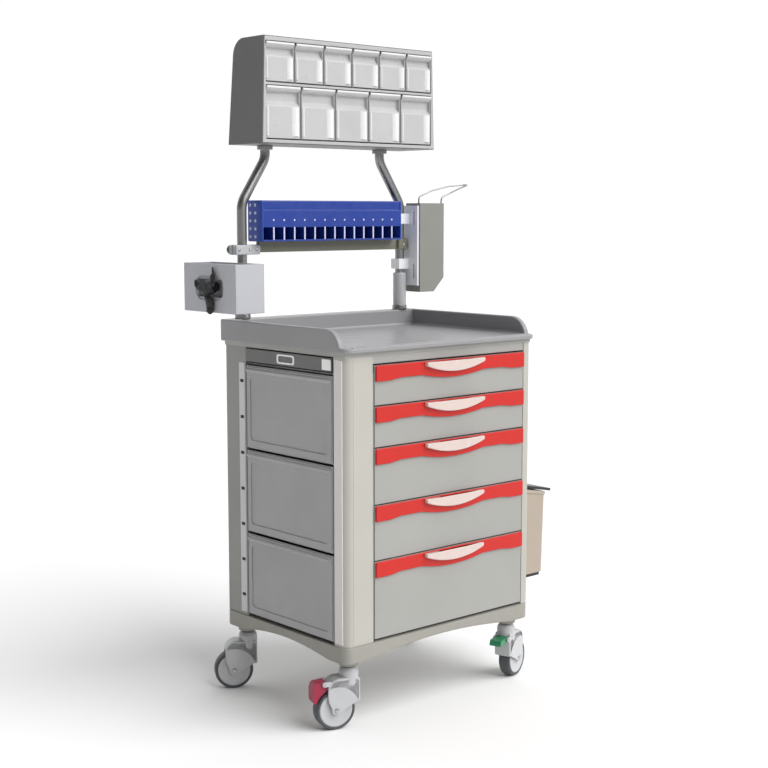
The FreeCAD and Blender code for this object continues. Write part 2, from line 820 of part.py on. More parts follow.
def make_tilt_bin(name, row, left, width):
    """A bin with a low back, so that it tilts out past the edge above, and a lip to pull it by."""
    bottom = f"({row}_row_bottom + 2)"
    top = f"({row}_row_top - 1)"
    deep = f"(house_front + {row}_bin_deep)"
    rear = f"({bottom} + {row}_bin_rear)"
    outer = [("house_front", bottom), (deep, bottom), (deep, rear), ("house_front", top)]
    inner = [
        ("house_front + bin_wall", f"{bottom} + bin_wall"),
        (f"{deep} - bin_wall", f"{bottom} + bin_wall"),
        (f"{deep} - bin_wall", f"{top} + 1"),
        ("house_front + bin_wall", f"{top} + 1"),
    ]
    ends = (f"{left} + bin_side_gap", f"{left} + {width} - bin_side_gap")
    block = extrude(f"{name}_block", "YZ", outer, *ends)
    hollow = extrude(f"{name}_hollow", "YZ", inner, f"{ends[0]} + bin_wall", f"{ends[1]} - bin_wall")
    lip = box(
        f"{name}_lip",
        (f"{ends[0]} + 4", f"{ends[1]} - 4"),
        ("house_front - bin_lip", "house_front"),
        (f"{top} - 15", f"{top} - 3"),
    )
    pins = []
    for side, x in (("left", f"{ends[0]} - 2"), ("right", ends[1])):
        place = (x, "house_front + bin_pivot_in", f"{row}_row_bottom + bin_pivot_up")
        pins.append(cylinder(f"{name}_pin_{side}", "x", "bin_pin", place, "2"))
    node(name, fuse(name, cut(f"{name}_shell", block, hollow), lip, *pins))


def make_glove_dispenser():
    """A sheet holder on the left mast, the carton in it and the glove that hangs out of its mouth."""
    outer = box(
        "holder_outer",
        ("glove_left", "glove_right"),
        ("glove_front", "glove_back"),
        ("glove_bottom", "glove_top"),
    )
    inside = box(
        "holder_inside",
        ("glove_left + glove_sheet", "glove_right - glove_sheet"),
        ("glove_front + glove_sheet", "glove_back - glove_sheet"),
        ("glove_bottom + glove_sheet", "glove_top + 1"),
    )
    middle_y = "((glove_front + glove_back) / 2)"
    middle_z = "((glove_bottom + glove_top) / 2)"
    mouth = box(
        "holder_mouth",
        ("glove_left - 1", "glove_left + glove_sheet + 1"),
        (f"{middle_y} - mouth_half_wide", f"{middle_y} + mouth_half_wide"),
        (f"{middle_z} - mouth_half_high", f"{middle_z} + mouth_half_high"),
    )
    arm = box(
        "holder_arm",
        ("glove_right", "mast_x - clamp_half"),
        ("mast_y - 12", "mast_y + 12"),
        (f"{middle_z} - holder_arm_half", f"{middle_z} + holder_arm_half"),
    )
    clamp_z = (f"{middle_z} - holder_clamp_half", f"{middle_z} + holder_clamp_half")
    block, bore = clamp("holder_clamp", "left", clamp_z)
    shell = cut("holder_shell", outer, inside, mouth)
    node("glove_holder", cut("glove_holder", fuse("holder_solid", shell, arm, block), bore))
    gap = "(glove_sheet + 0.5)"
    carton = box(
        "carton_block",
        (f"glove_left + {gap}", f"glove_right - {gap}"),
        (f"glove_front + {gap}", f"glove_back - {gap}"),
        ("glove_bottom + glove_sheet", "glove_top - 4"),
    )
    pit = box(
        "carton_mouth",
        ("glove_left", "glove_left + 24"),
        (f"{middle_y} - 52", f"{middle_y} + 52"),
        (f"{middle_z} - 22", f"{middle_z} + 22"),
    )
    node("glove_carton", cut("glove_carton", carton, pit))
    make_glove(middle_y, middle_z)


def make_glove(middle_y, middle_z):
    """The glove: a wad in the carton's mouth, and the cuff and fingers that lie against the holder's face."""
    out = ("glove_left - glove_proud", "glove_left + 24")
    flat = ("glove_left - glove_proud + 2", "glove_left - 1")
    fingers = {
        "wad": (out, (-38, 36), (-17, 20)),
        "cuff": (flat, (-34, 8), (-55, -15)),
        "finger": (flat, (-32, -16), (18, 51)),
        "thumb": (flat, (30, 50), (-10, 14)),
    }
    pieces = []
    for name, (x, y, z) in fingers.items():
        across = (f"{middle_y} + {y[0]}", f"{middle_y} + {y[1]}")
        high = (f"{middle_z} + {z[0]}", f"{middle_z} + {z[1]}")
        pieces.append(box(f"glove_{name}", x, across, high))
    node("glove", fuse("glove", *pieces))


def make_side_pocket():
    """The tall pocket on the right mast, its slotted bracket, and the wire hook on its rim."""
    wall = "pocket_wall"
    outline = [
        ("pocket_left", "pocket_bottom"),
        ("pocket_right - pocket_cut", "pocket_bottom"),
        ("pocket_right", "pocket_bottom + pocket_cut"),
        ("pocket_right", "pocket_top"),
        ("pocket_left", "pocket_top"),
    ]
    inner = [
        (f"pocket_left + {wall}", f"pocket_bottom + {wall}"),
        (f"pocket_right - pocket_cut - {wall} / 2", f"pocket_bottom + {wall}"),
        (f"pocket_right - {wall}", f"pocket_bottom + pocket_cut + {wall} / 2"),
        (f"pocket_right - {wall}", "pocket_top + 1"),
        (f"pocket_left + {wall}", "pocket_top + 1"),
    ]
    block = extrude("pocket_block", "XZ", outline, "pocket_front", "pocket_back")
    hollow = extrude("pocket_hollow", "XZ", inner, f"pocket_front + {wall}", f"pocket_back - {wall}")
    node("side_pocket", cut("side_pocket", block, hollow))
    plate = box(
        "bracket_plate",
        ("bracket_left", "pocket_left"),
        ("bracket_front", "bracket_back"),
        ("bracket_bottom", "bracket_top"),
    )
    slots = []
    blocks = []
    bores = []
    for place in ("low", "high"):
        slot_z = (f"bracket_slot_{place}", f"bracket_slot_{place} + bracket_slot_long")
        slot_y = ("bracket_slot_front", "bracket_slot_front + bracket_slot_wide")
        slots.append(box(f"bracket_gap_{place}", ("bracket_left - 1", "pocket_left + 1"), slot_y, slot_z))
        clamp_z = (f"bracket_clamp_{place}", f"bracket_clamp_{place} + bracket_clamp_tall")
        reach = "bracket_left - cart_width + mast_x"
        block, bore = clamp(f"bracket_grip_{place}", "right", clamp_z, right=reach)
        blocks.append(block)
        bores.append(bore)
    node("pocket_bracket", cut("pocket_bracket", fuse("bracket_solid", plate, *blocks), *bores, *slots))
    back_y = f"pocket_back - {wall} / 2"
    front_y = f"pocket_front + {wall} / 2"
    route = [
        ("655", back_y, "pocket_top"),
        ("656", back_y, "pocket_top + 18"),
        ("705", back_y, "hook_high - 17"),
        ("760", "444", "hook_high - 4"),
        ("hook_tip - 2", "436", "hook_high"),
        ("hook_tip - 2", "420", "hook_high"),
        ("765", "410", "hook_high - 12"),
        ("725", front_y, "hook_high - 24"),
        ("692", front_y, "pocket_top + 16"),
        ("690", front_y, "pocket_top"),
    ]
    node("wire_hook", group("wire_hook", bent_rod("hook_rod", route, "wire_radius", "14")))


def make_waste_bin():
    """The waste bin hung on the right side, with a slanting lid, on a cradle with two wire stays."""
    slope = "((waste_rim_right - waste_rim_left) / (waste_right - waste_left))"
    outline = [
        ("waste_left", "waste_bottom"),
        ("waste_right - 8", "waste_bottom"),
        ("waste_right", "waste_rim_right"),
        ("waste_left", "waste_rim_left"),
    ]
    wall = "waste_wall"
    inner = [
        (f"waste_left + {wall}", f"waste_bottom + {wall}"),
        (f"waste_right - 8 - {wall}", f"waste_bottom + {wall}"),
        (f"waste_right - {wall}", "waste_rim_left + 4"),
        (f"waste_left + {wall}", "waste_rim_left + 4"),
    ]
    block = extrude("waste_block", "XZ", outline, "waste_front", "waste_back")
    hollow = extrude("waste_hollow", "XZ", inner, f"waste_front + {wall}", f"waste_back - {wall}")
    node("waste_bin", cut("waste_bin", block, hollow))
    reach = "(waste_right + lid_overhang)"
    low = f"waste_rim_left + 1 + {slope} * ({reach} - waste_left)"
    lid = [
        ("lid_pivot_x", "waste_rim_left + 1"),
        ("waste_left", "waste_rim_left + 1"),
        (reach, low),
        (reach, f"{low} + lid_thick"),
        ("waste_left", "waste_rim_left + 1 + lid_thick"),
        ("lid_pivot_x", "waste_rim_left + 1 + lid_thick"),
    ]
    lid_y = ("waste_front - 3", "waste_back + 3")
    flap = extrude("lid_flap", "XZ", lid, *lid_y)
    start = ("lid_pivot_x", lid_y[0], "lid_pivot_z")
    long = "waste_back - waste_front + 6"
    barrel = cylinder("lid_barrel_tube", "y", "lid_barrel", start, long)
    bore = cylinder("lid_bore", "y", "lid_pin + fit_gap", start, long)
    node("waste_lid", cut("waste_lid", fuse("lid_solid", flap, barrel), bore))
    span = ("waste_front + 15", "waste_back - 15")
    plate_z = ("waste_bottom - 12", "waste_rim_right")
    plate = box("cradle_plate", ("cart_width", "cart_width + 5"), span, plate_z)
    foot = box("cradle_foot", ("cart_width", "waste_right - 8"), span, ("waste_bottom - 12", "waste_bottom"))
    pad = box("cradle_pad", ("cart_width", "waste_left"), span, ("waste_rim_right - 40", "waste_rim_right"))
    hinge = []
    for side, y in (("front", f"{lid_y[0]} - 1 - lid_lug"), ("back", f"{lid_y[1]} + 1")):
        across = ("cart_width", "lid_pivot_x + lid_barrel")
        z = ("lid_pivot_z - lid_barrel - 3", "lid_pivot_z + lid_barrel")
        hinge.append(box(f"lid_lug_{side}", across, (y, f"{y} + lid_lug"), z))
    pin_start = ("lid_pivot_x", f"{lid_y[0]} - 2", "lid_pivot_z")
    hinge.append(cylinder("lid_hinge_pin", "y", "lid_pin", pin_start, f"{long} + 4"))
    stays = []
    for side, wall_y, out in (("front", "waste_front", "-"), ("back", "waste_back", "+")):
        y = f"{wall_y} {out} 13"
        route = [
            ("cart_width", y, "stay_top"),
            ("cart_width + 12", y, "stay_top"),
            ("stay_x", y, "stay_top - 82"),
            ("stay_x", y, "stay_bottom"),
            ("stay_x", wall_y, "stay_bottom"),
        ]
        stays.append(bent_rod(f"stay_{side}", route, "wire_radius", "8"))
    solid = fuse("cradle_solid", plate, foot, pad)
    node("waste_cradle", group("waste_cradle", solid, fuse("lid_hinge", *hinge), *stays))


def place_caster_part(obj, label, caster):
    """Puts a part, drawn about the caster's stem with the wheel trailing along +X, under the deck."""
    obj.Label = label
    obj.Placement = Placement(Vector(), Rotation(Vector(0, 0, 1), 90))
    bind(
        obj,
        Placement__Base__x=f"stem_x_{caster} - origin_x",
        Placement__Base__y=f"stem_y_{caster} - origin_y",
        Placement__Rotation__Angle=f"trail_angle_{caster}",
    )
    NODES[label] = obj


def make_caster(caster):
    """A swivel fork with its fender, stem and axle, and the wheel: a hub with a bonded tread."""
    outline = [
        ("-fender_reach", "fork_top"),
        ("-fender_reach + 2", "fender_bottom + 6"),
        ("-fender_reach + 8", "fender_bottom"),
        ("trail - 12", "43", "-6"),
        ("trail + 12", "43"),
        ("trail + 24", "96"),
        ("trail + 20", "fork_top"),
    ]
    blank = extrude(f"fork_blank_{caster}", "XZ", outline, "-fork_out", "fork_out")
    slot_start = "-fender_reach + fender_thick"
    slot = box(f"fork_slot_{caster}", (slot_start, "120"), ("-fork_in", "fork_in"), ("20", "107"))
    sunk = ("0", "0", "fork_top - 4")
    crown = cylinder(f"fork_crown_{caster}", "z", "crown_radius", sunk, "crown_top - fork_top + 4")
    stem = cylinder(f"fork_stem_{caster}", "z", "stem_radius", ("0", "0", "fork_top"), "stem_top - fork_top")
    axle_start = ("trail", "-fork_out", "wheel_radius")
    axle = cylinder(f"axle_{caster}", "y", "axle_radius", axle_start, "2 * fork_out")
    pieces = [cut(f"fork_yoke_{caster}", blank, slot), crown, stem, axle]
    if caster in PEDALS:
        pieces += pedal_hinge(PEDALS[caster])
    place_caster_part(fuse(f"fork_{caster}", *pieces), f"caster_fork_{caster}", caster)
    hub_radius = "wheel_radius - tread_thick"
    side = ("trail", "-wheel_half", "wheel_radius")
    hub = cylinder(f"hub_{caster}", "y", hub_radius, side, "2 * wheel_half")
    proud = ("trail", "-wheel_half - 1", "wheel_radius")
    boss = cylinder(f"hub_boss_{caster}", "y", "hub_boss_radius", proud, "2 * wheel_half + 2")
    start = ("trail", "-wheel_half - 3", "wheel_radius")
    bore = cylinder(f"hub_bore_{caster}", "y", "axle_radius + fit_gap", start, "2 * wheel_half + 6")
    tyre = cylinder(f"tyre_{caster}", "y", "wheel_radius", side, "2 * wheel_half")
    eye = cylinder(f"tyre_eye_{caster}", "y", hub_radius, start, "2 * wheel_half + 6")
    hub_cut = cut(f"hub_cut_{caster}", fuse(f"hub_solid_{caster}", hub, boss), bore)
    tread = cut(f"tread_{caster}", tyre, eye)
    place_caster_part(group(f"wheel_{caster}", hub_cut, tread), f"caster_wheel_{caster}", caster)


def pedal_hinge(pedal):
    """The two lugs and the pin that carry a pedal on its fork."""
    x = f"{pedal}_pin_x"
    z = f"{pedal}_pin_z"
    lugs = []
    for side, y in (("left", ("-fork_out", "-fork_in")), ("right", ("fork_in", "fork_out"))):
        reach = (f"{x} - 12", f"{x} + lug_half") if pedal == "brake" else (f"{x} - lug_half", f"{x} + 14")
        lugs.append(box(f"{pedal}_lug_{side}", reach, y, (f"{z} - lug_half", f"{z} + lug_half")))
    lugs.append(cylinder(f"{pedal}_hinge_pin", "y", "pedal_pin", (x, "-fork_out", z), "2 * fork_out"))
    return lugs


def make_pedals():
    """The brake pedal behind the front left wheel and the lock pedal ahead of the front right one."""
    outlines = {
        "brake": [
            ("trail + 51", "70.6", "-3.3"),
            ("trail + 25.8", "98.6"),
            ("trail + 24", "108"),
            ("trail + 25", "122"),
            ("trail + 51", "121"),
            ("trail + 56", "116"),
            ("trail + 59", "106"),
            ("trail + 59", "78"),
            ("trail + 56", "72"),
        ],
        "lock": [("-66", "104"), ("-22", "108"), ("-22", "120"), ("-62", "118")],
    }
    for caster, pedal in PEDALS.items():
        body = extrude(f"{pedal}_pedal_body", "XZ", outlines[pedal], "-wheel_half", "wheel_half")
        start = (f"{pedal}_pin_x", "-wheel_half - 1", f"{pedal}_pin_z")
        bore = cylinder(f"{pedal}_pedal_bore", "y", "pedal_pin + fit_gap", start, "2 * wheel_half + 2")
        place_caster_part(cut(f"{pedal}_pedal", body, bore), f"{pedal}_pedal", caster)


def check_document():
    """Stops with the name of anything that failed to build."""
    doc.recompute()
    bad = [o.Name for o in doc.Objects if "Invalid" in o.State or "Error" in o.State]
    if bad:
        raise SystemExit(f"failed objects: {bad}")
    for label, obj in NODES.items():
        if obj.Shape.isNull() or not obj.Shape.isValid() or not obj.Shape.Solids:
            raise SystemExit(f"{label} has no valid solid")


def export_nodes():
    os.makedirs("parts", exist_ok=True)
    for label, obj in NODES.items():
        obj.Shape.exportStep(f"parts/{label}.step")
    bounds = FreeCAD.BoundBox()
    for obj in NODES.values():
        bounds.add(obj.Shape.BoundBox)
    print(len(NODES), "nodes, box", bounds)


make_base_deck()
make_frame()
make_worktop()
make_drawers()
make_side_bins()
make_side_shelf()
make_masts()
make_mast_rail()
make_pocket_rack()
make_bin_cabinet()
make_glove_dispenser()
make_side_pocket()
make_waste_bin()
for caster_name in CASTERS:
    make_caster(caster_name)
make_pedals()
check_document()
export_nodes()
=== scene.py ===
"""A hospital procedure trolley, dressed around its CAD frame. Every length is in metres, in the row's frame."""

import json
import math

import bmesh
import bpy
from mathutils import Matrix, Vector, noise


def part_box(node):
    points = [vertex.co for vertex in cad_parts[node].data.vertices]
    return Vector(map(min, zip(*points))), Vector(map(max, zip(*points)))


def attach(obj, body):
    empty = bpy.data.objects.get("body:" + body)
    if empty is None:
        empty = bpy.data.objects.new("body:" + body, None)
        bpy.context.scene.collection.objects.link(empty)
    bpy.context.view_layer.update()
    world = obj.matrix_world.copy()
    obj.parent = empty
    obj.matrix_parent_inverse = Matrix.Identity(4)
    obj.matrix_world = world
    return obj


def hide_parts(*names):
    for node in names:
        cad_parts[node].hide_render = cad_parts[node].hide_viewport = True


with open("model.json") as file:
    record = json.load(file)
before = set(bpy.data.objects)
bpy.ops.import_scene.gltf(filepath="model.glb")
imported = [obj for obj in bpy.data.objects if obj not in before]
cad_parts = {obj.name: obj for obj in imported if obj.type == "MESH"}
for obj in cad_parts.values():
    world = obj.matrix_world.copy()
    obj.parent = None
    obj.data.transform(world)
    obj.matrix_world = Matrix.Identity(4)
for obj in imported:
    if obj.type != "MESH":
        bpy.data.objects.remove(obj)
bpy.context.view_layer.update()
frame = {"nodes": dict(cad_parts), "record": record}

MM = 0.001
SCENE = bpy.context.scene
BODY_OF = {n: b for b, members in frame["record"]["behaviour"]["bodies"].items() for n in members}
SLOT_OF = {s["node"]: s["material_slot"] for s in frame["record"]["subparts"]}

# The cabinet's front left corner on the floor, from which places on the trolley are measured.
CORNER = Vector((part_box("corner_posts")[0].x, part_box("corner_posts")[0].y, 0))


# ---------------------------------------------------------------- materials


def new_material(name):
    """A node material, with its tree and its shader."""
    material = bpy.data.materials.new(name)
    material.use_nodes = True
    tree = material.node_tree
    shader = tree.nodes["Principled BSDF"]
    return material, tree, shader


def noise_node(tree, scale, detail=4.0, rough=0.55):
    """A noise texture on the object's own coordinates, so its grain is a real size."""
    coords = tree.nodes.new("ShaderNodeTexCoord")
    texture = tree.nodes.new("ShaderNodeTexNoise")
    texture.inputs["Scale"].default_value = scale
    texture.inputs["Detail"].default_value = detail
    texture.inputs["Roughness"].default_value = rough
    tree.links.new(coords.outputs["Object"], texture.inputs["Vector"])
    return texture


def spread(tree, source, low, high):
    """Maps a noise's middle range onto low to high."""
    ramp = tree.nodes.new("ShaderNodeMapRange")
    ramp.inputs["From Min"].default_value = 0.3
    ramp.inputs["From Max"].default_value = 0.7
    ramp.inputs["To Min"].default_value = low
    ramp.inputs["To Max"].default_value = high
    tree.links.new(source, ramp.inputs["Value"])
    return ramp.outputs["Result"]


def tinted(tree, shader, color, depth, scale):
    """Colour that drifts a little between two shades, as moulded and painted surfaces do."""
    drift = noise_node(tree, scale)
    mix = tree.nodes.new("ShaderNodeMix")
    mix.data_type = "RGBA"
    mix.inputs["A"].default_value = (*[c * (1 - depth) for c in color], 1)
    mix.inputs["B"].default_value = (*[min(1, c * (1 + depth)) for c in color], 1)
    tree.links.new(spread(tree, drift.outputs["Fac"], 0, 1), mix.inputs["Factor"])
    tree.links.new(mix.outputs["Result"], shader.inputs["Base Color"])
    return mix


def bumped(tree, shader, scale, strength, distance, detail=3.0):
    grain = noise_node(tree, scale, detail)
    bump = tree.nodes.new("ShaderNodeBump")
    bump.inputs["Strength"].default_value = strength
    bump.inputs["Distance"].default_value = distance
    tree.links.new(grain.outputs["Fac"], bump.inputs["Height"])
    tree.links.new(bump.outputs["Normal"], shader.inputs["Normal"])


def plastic(name, color, rough=0.42, grain=900, depth=0.04, coat=0.0):
    """Moulded plastic: a fine spark-eroded grain, a slow drift of shade and uneven polish."""
    material, tree, shader = new_material(name)
    tinted(tree, shader, color, depth, 6)
    polish = noise_node(tree, 35, 6)
    tree.links.new(spread(tree, polish.outputs["Fac"], rough * 0.85, rough * 1.2), shader.inputs["Roughness"])
    bumped(tree, shader, grain, 0.10, 0.00015)
    shader.inputs["Coat Weight"].default_value = coat
    shader.inputs["Coat Roughness"].default_value = 0.12
    return material


def powder_coat(name, color, rough=0.38, depth=0.03):
    """Powder-coated steel: orange peel under a soft gloss, with dust in its low gloss patches."""
    material, tree, shader = new_material(name)
    tinted(tree, shader, color, depth, 4)
    dust = noise_node(tree, 18, 8, 0.7)
    tree.links.new(spread(tree, dust.outputs["Fac"], rough * 0.8, rough * 1.3), shader.inputs["Roughness"])
    bumped(tree, shader, 420, 0.18, 0.0004, 2.0)
    return material


def brushed(name, color, rough=0.3, axis=2, stretch=60):
    """Brushed or drawn metal, its scratches running along one axis."""
    material, tree, shader = new_material(name)
    coords = tree.nodes.new("ShaderNodeTexCoord")
    mapping = tree.nodes.new("ShaderNodeMapping")
    scale = [stretch * 20.0] * 3
    scale[axis] = 12.0
    mapping.inputs["Scale"].default_value = scale
    lines = tree.nodes.new("ShaderNodeTexNoise")
    lines.inputs["Scale"].default_value = 1.0
    lines.inputs["Detail"].default_value = 3.0
    tree.links.new(coords.outputs["Object"], mapping.inputs["Vector"])
    tree.links.new(mapping.outputs["Vector"], lines.inputs["Vector"])
    tree.links.new(spread(tree, lines.outputs["Fac"], rough * 0.75, rough * 1.35), shader.inputs["Roughness"])
    bump = tree.nodes.new("ShaderNodeBump")
    bump.inputs["Strength"].default_value = 0.15
    bump.inputs["Distance"].default_value = 0.0002
    tree.links.new(lines.outputs["Fac"], bump.inputs["Height"])
    tree.links.new(bump.outputs["Normal"], shader.inputs["Normal"])
    tinted(tree, shader, color, 0.06, 9)
    shader.inputs["Metallic"].default_value = 1.0
    return material


def clear_plastic(name, color, clear=0.5, rough=0.28):
    """Milky translucent plastic, its tint drifting as the wall thickness does."""
    material, tree, shader = new_material(name)
    tinted(tree, shader, color, 0.04, 10)
    flow = noise_node(tree, 12, 3)
    tree.links.new(spread(tree, flow.outputs["Fac"], rough * 0.85, rough * 1.2), shader.inputs["Roughness"])
    shader.inputs["Transmission Weight"].default_value = clear
    shader.inputs["IOR"].default_value = 1.3
    return material


def rubber(name, color, rough=0.62):
    """Matt rubber or nitrile, with a skin of tiny creases."""
    material, tree, shader = new_material(name)
    tinted(tree, shader, color, 0.18, 30)
    bumped(tree, shader, 260, 0.3, 0.0006, 6.0)
    shader.inputs["Roughness"].default_value = rough
    return material


def card(name, color):
    """Printed card: paper fibres and a faint matt coating."""
    material, tree, shader = new_material(name)
    tinted(tree, shader, color, 0.05, 12)
    bumped(tree, shader, 700, 0.25, 0.0003, 8.0)
    shader.inputs["Roughness"].default_value = 0.72
    return material


MATERIALS = {
    "moulded_base": plastic("base plastic", (0.315, 0.305, 0.272), 0.48),
    "post_aluminium": powder_coat("post paint", (0.29, 0.29, 0.275), 0.36),
    "stile_grey": powder_coat("stile paint", (0.46, 0.45, 0.405), 0.36),
    "panel_steel": powder_coat("panel paint", (0.38, 0.38, 0.36), 0.36),
    "worktop_abs": plastic("worktop plastic", (0.29, 0.29, 0.297), 0.35),
    "slide_steel": brushed("slide zinc", (0.55, 0.56, 0.58), 0.32, 1),
    "mast_steel": brushed("mast steel", (0.30, 0.303, 0.298), 0.36, 2),
    "rail_olive": powder_coat("rail paint", (0.195, 0.192, 0.147), 0.4),
    "rack_blue": plastic("rack blue", (0.013, 0.045, 0.30), 0.34, 900, 0.02, 0.1),
    "housing_grey": plastic("housing plastic", (0.145, 0.145, 0.145), 0.45),
    "shelf_grey": powder_coat("shelf paint", (0.14, 0.14, 0.14), 0.36),
    "holder_steel": powder_coat("holder paint", (0.47, 0.475, 0.505), 0.34),
    "carton_card": card("carton card", (0.42, 0.43, 0.46)),
    "glove_black": rubber("glove nitrile", (0.008, 0.008, 0.009), 0.5),
    "pocket_olive": powder_coat("pocket paint", (0.245, 0.245, 0.225), 0.4),
    "bracket_steel": powder_coat("bracket paint", (0.92, 0.93, 0.95), 0.36),
    "wire_steel": brushed("wire chrome", (0.34, 0.34, 0.33), 0.36, 0),
    "waste_beige": plastic("waste plastic", (0.42, 0.355, 0.29), 0.4),
    "lid_black": plastic("lid plastic", (0.012, 0.016, 0.02), 0.35),
    "cradle_steel": powder_coat("cradle paint", (0.02, 0.022, 0.025), 0.4),
    "pedal_red": plastic("pedal red", (0.34, 0.016, 0.05), 0.34),
    "pedal_green": plastic("pedal green", (0.03, 0.24, 0.11), 0.34),
    "drawer_grey": powder_coat("drawer paint", (0.35, 0.35, 0.33), 0.34),
    "trim_red": plastic("trim red", (0.56, 0.009, 0.003), 0.42, 900, 0.02, 0.0),
    "handle_white": plastic("handle white", (0.65, 0.53, 0.49), 0.24, 900, 0.03, 0.3),
    "bin_clear": clear_plastic("bin plastic", (0.525, 0.525, 0.525), 0.04, 0.3),
    "side_bin_smoke": clear_plastic("side bin plastic", (0.42, 0.415, 0.424), 0.04, 0.34),
    "caster_grey": plastic("caster plastic", (0.52, 0.525, 0.535), 0.36),
    "caster_wheel": plastic("tread rubber", (0.075, 0.078, 0.085), 0.55, 700),
}
DARK = plastic("dark gap", (0.012, 0.012, 0.014), 0.6)
SCREW = brushed("screw zinc", (0.55, 0.55, 0.56), 0.26, 1)
KNOB = plastic("knob black", (0.02, 0.02, 0.022), 0.4)
PALE = plastic("clamp plastic", (0.52, 0.525, 0.54), 0.36)
BEZEL = plastic("bezel plastic", (0.46, 0.46, 0.46), 0.4)
# A lighter copy of the bin plastic for the bins' bands and lips: a painted highlight.
BIN_HIGHLIGHT_EDGE = clear_plastic("bin rib painted highlight plastic", (0.78, 0.78, 0.78), 0.03, 0.28)
LATCH = plastic("latch plastic", (0.93, 0.94, 0.92), 0.3)
# Pale strip paint for the slotted strip and the side sills; on the sills it is kept bright against their shade, a
# painted highlight.
STRIP = powder_coat("strip paint", (0.62, 0.62, 0.62), 0.36)
RACK_END = plastic("rack end plastic", (0.026, 0.078, 0.44), 0.34, 900, 0.02, 0.1)
# A pale pinkish paint for the strip on the front left post: a painted highlight along its corner.
CORNER_HIGHLIGHT_PAINT = powder_coat("corner strip painted highlight", (0.76, 0.72, 0.71), 0.36)
DIVIDER = plastic("divider plastic", (0.66, 0.67, 0.92), 0.3, 900, 0.02, 0.1)


# ---------------------------------------------------------------- mesh tools


def add_object(name, bm, material):
    """Turns a bmesh into a named object with smooth shading by angle."""
    mesh = bpy.data.meshes.new(name)
    bmesh.ops.recalc_face_normals(bm, faces=bm.faces)
    bm.to_mesh(mesh)
    bm.free()
    mesh.materials.append(material)
    obj = bpy.data.objects.new(name, mesh)
    SCENE.collection.objects.link(obj)
    return obj


def apply_modifiers(obj):
    """Bakes an object's modifiers into its mesh."""
    graph = bpy.context.evaluated_depsgraph_get()
    mesh = bpy.data.meshes.new_from_object(obj.evaluated_get(graph))
    obj.modifiers.clear()
    obj.data = mesh
    return obj


def shade(obj, angle=35):
    """Smooth faces, with edges sharper than angle kept crisp."""
    mesh = obj.data
    mesh.polygons.foreach_set("use_smooth", [True] * len(mesh.polygons))
    bm = bmesh.new()
    bm.from_mesh(mesh)
    for edge in bm.edges:
        edge.smooth = len(edge.link_faces) == 2 and edge.calc_face_angle(0) < math.radians(angle)
    bm.to_mesh(mesh)
    bm.free()
    return obj


def bevel(obj, width, segments=3, angle=32):
    """Rounds the edges sharper than angle, and keeps flat faces flat."""
    modifier = obj.modifiers.new("round", "BEVEL")
    modifier.width = width
    modifier.segments = segments
    modifier.limit_method = "ANGLE"
    modifier.angle_limit = math.radians(angle)
    modifier.harden_normals = False
    modifier.use_clamp_overlap = True
    apply_modifiers(obj)
    shade(obj, 40)
    weigh_normals(obj)
    return obj


def weigh_normals(obj):
    modifier = obj.modifiers.new("normals", "WEIGHTED_NORMAL")
    modifier.keep_sharp = True
    modifier.weight = 80
    return apply_modifiers(obj)


def finish_piece(obj, body, slot=None, *nodes):
    """Gives a piece its body and hides the CAD nodes that it stands for. The slot argument is not used."""
    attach(obj, body)
    if nodes:
        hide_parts(*nodes)
    return obj


def join(name, pieces):
    """One object from several, with their materials."""
    target = bpy.data.meshes.new(name)
    bm = bmesh.new()
    slots = []
    for piece in pieces:
        mesh = piece.data
        indices = []
        for material in mesh.materials:
            if material not in slots:
                slots.append(material)
            indices.append(slots.index(material))
        start = len(bm.faces)
        mesh.transform(piece.matrix_world)
        bm.from_mesh(mesh)
        bm.faces.ensure_lookup_table()
        for face in bm.faces[start:]:
            face.material_index = indices[face.material_index] if indices else 0
    bm.to_mesh(target)
    bm.free()
    for material in slots:
        target.materials.append(material)
    obj = bpy.data.objects.new(name, target)
    SCENE.collection.objects.link(obj)
    for piece in pieces:
        bpy.data.objects.remove(piece)
    return obj


def softened(node, width=0.0012, segments=3, name=None, merge=0.00005):
    """A copy of a CAD node with clean flat faces and rounded edges."""
    source = frame["nodes"][node]
    bm = bmesh.new()
    bm.from_mesh(source.data)
    bmesh.ops.remove_doubles(bm, verts=bm.verts, dist=merge)
    bmesh.ops.dissolve_limit(
        bm,
        angle_limit=math.radians(1.0),
        verts=bm.verts,
        edges=bm.edges,
        use_dissolve_boundaries=False,
    )
    obj = add_object(name or f"{node}_shell", bm, MATERIALS[SLOT_OF[node]])
    bevel(obj, width, segments)
    return obj


def dress(node, width=0.0012, segments=3):
    """Softens a CAD node and lets the softened piece stand for it."""
    obj = softened(node, width, segments)
    return finish_piece(obj, BODY_OF[node], SLOT_OF[node], node)


def block(name, low, high, material, width=0.001, segments=2):
    """A box between two corners with rounded edges, for small details."""
    low, high = Vector(low), Vector(high)
    bm = bmesh.new()
    bmesh.ops.create_cube(bm, size=1.0)
    for vert in bm.verts:
        vert.co = [low[i] + (vert.co[i] + 0.5) * (high[i] - low[i]) for i in range(3)]
    obj = add_object(name, bm, material)
    return bevel(obj, width, segments)


def disc(name, centre, axis, radius, length, material, width=0.0008, sides=40):
    """A short cylinder from centre along axis, with rounded rims."""
    bm = bmesh.new()
    bmesh.ops.create_cone(bm, cap_ends=True, segments=sides, radius1=radius, radius2=radius, depth=length)
    turn = Vector((0, 0, 1)).rotation_difference(Vector(axis)).to_matrix().to_4x4()
    place = Matrix.Translation(Vector(centre) + Vector(axis).normalized() * length / 2) @ turn
    bmesh.ops.transform(bm, matrix=place, verts=bm.verts)
    obj = add_object(name, bm, material)
    return bevel(obj, width, 2)


def lift(axis, level, u, v):
    """The point at level along an axis and at u, v across it."""
    return {"x": (level, u, v), "y": (u, level, v), "z": (u, v, level)}[axis]


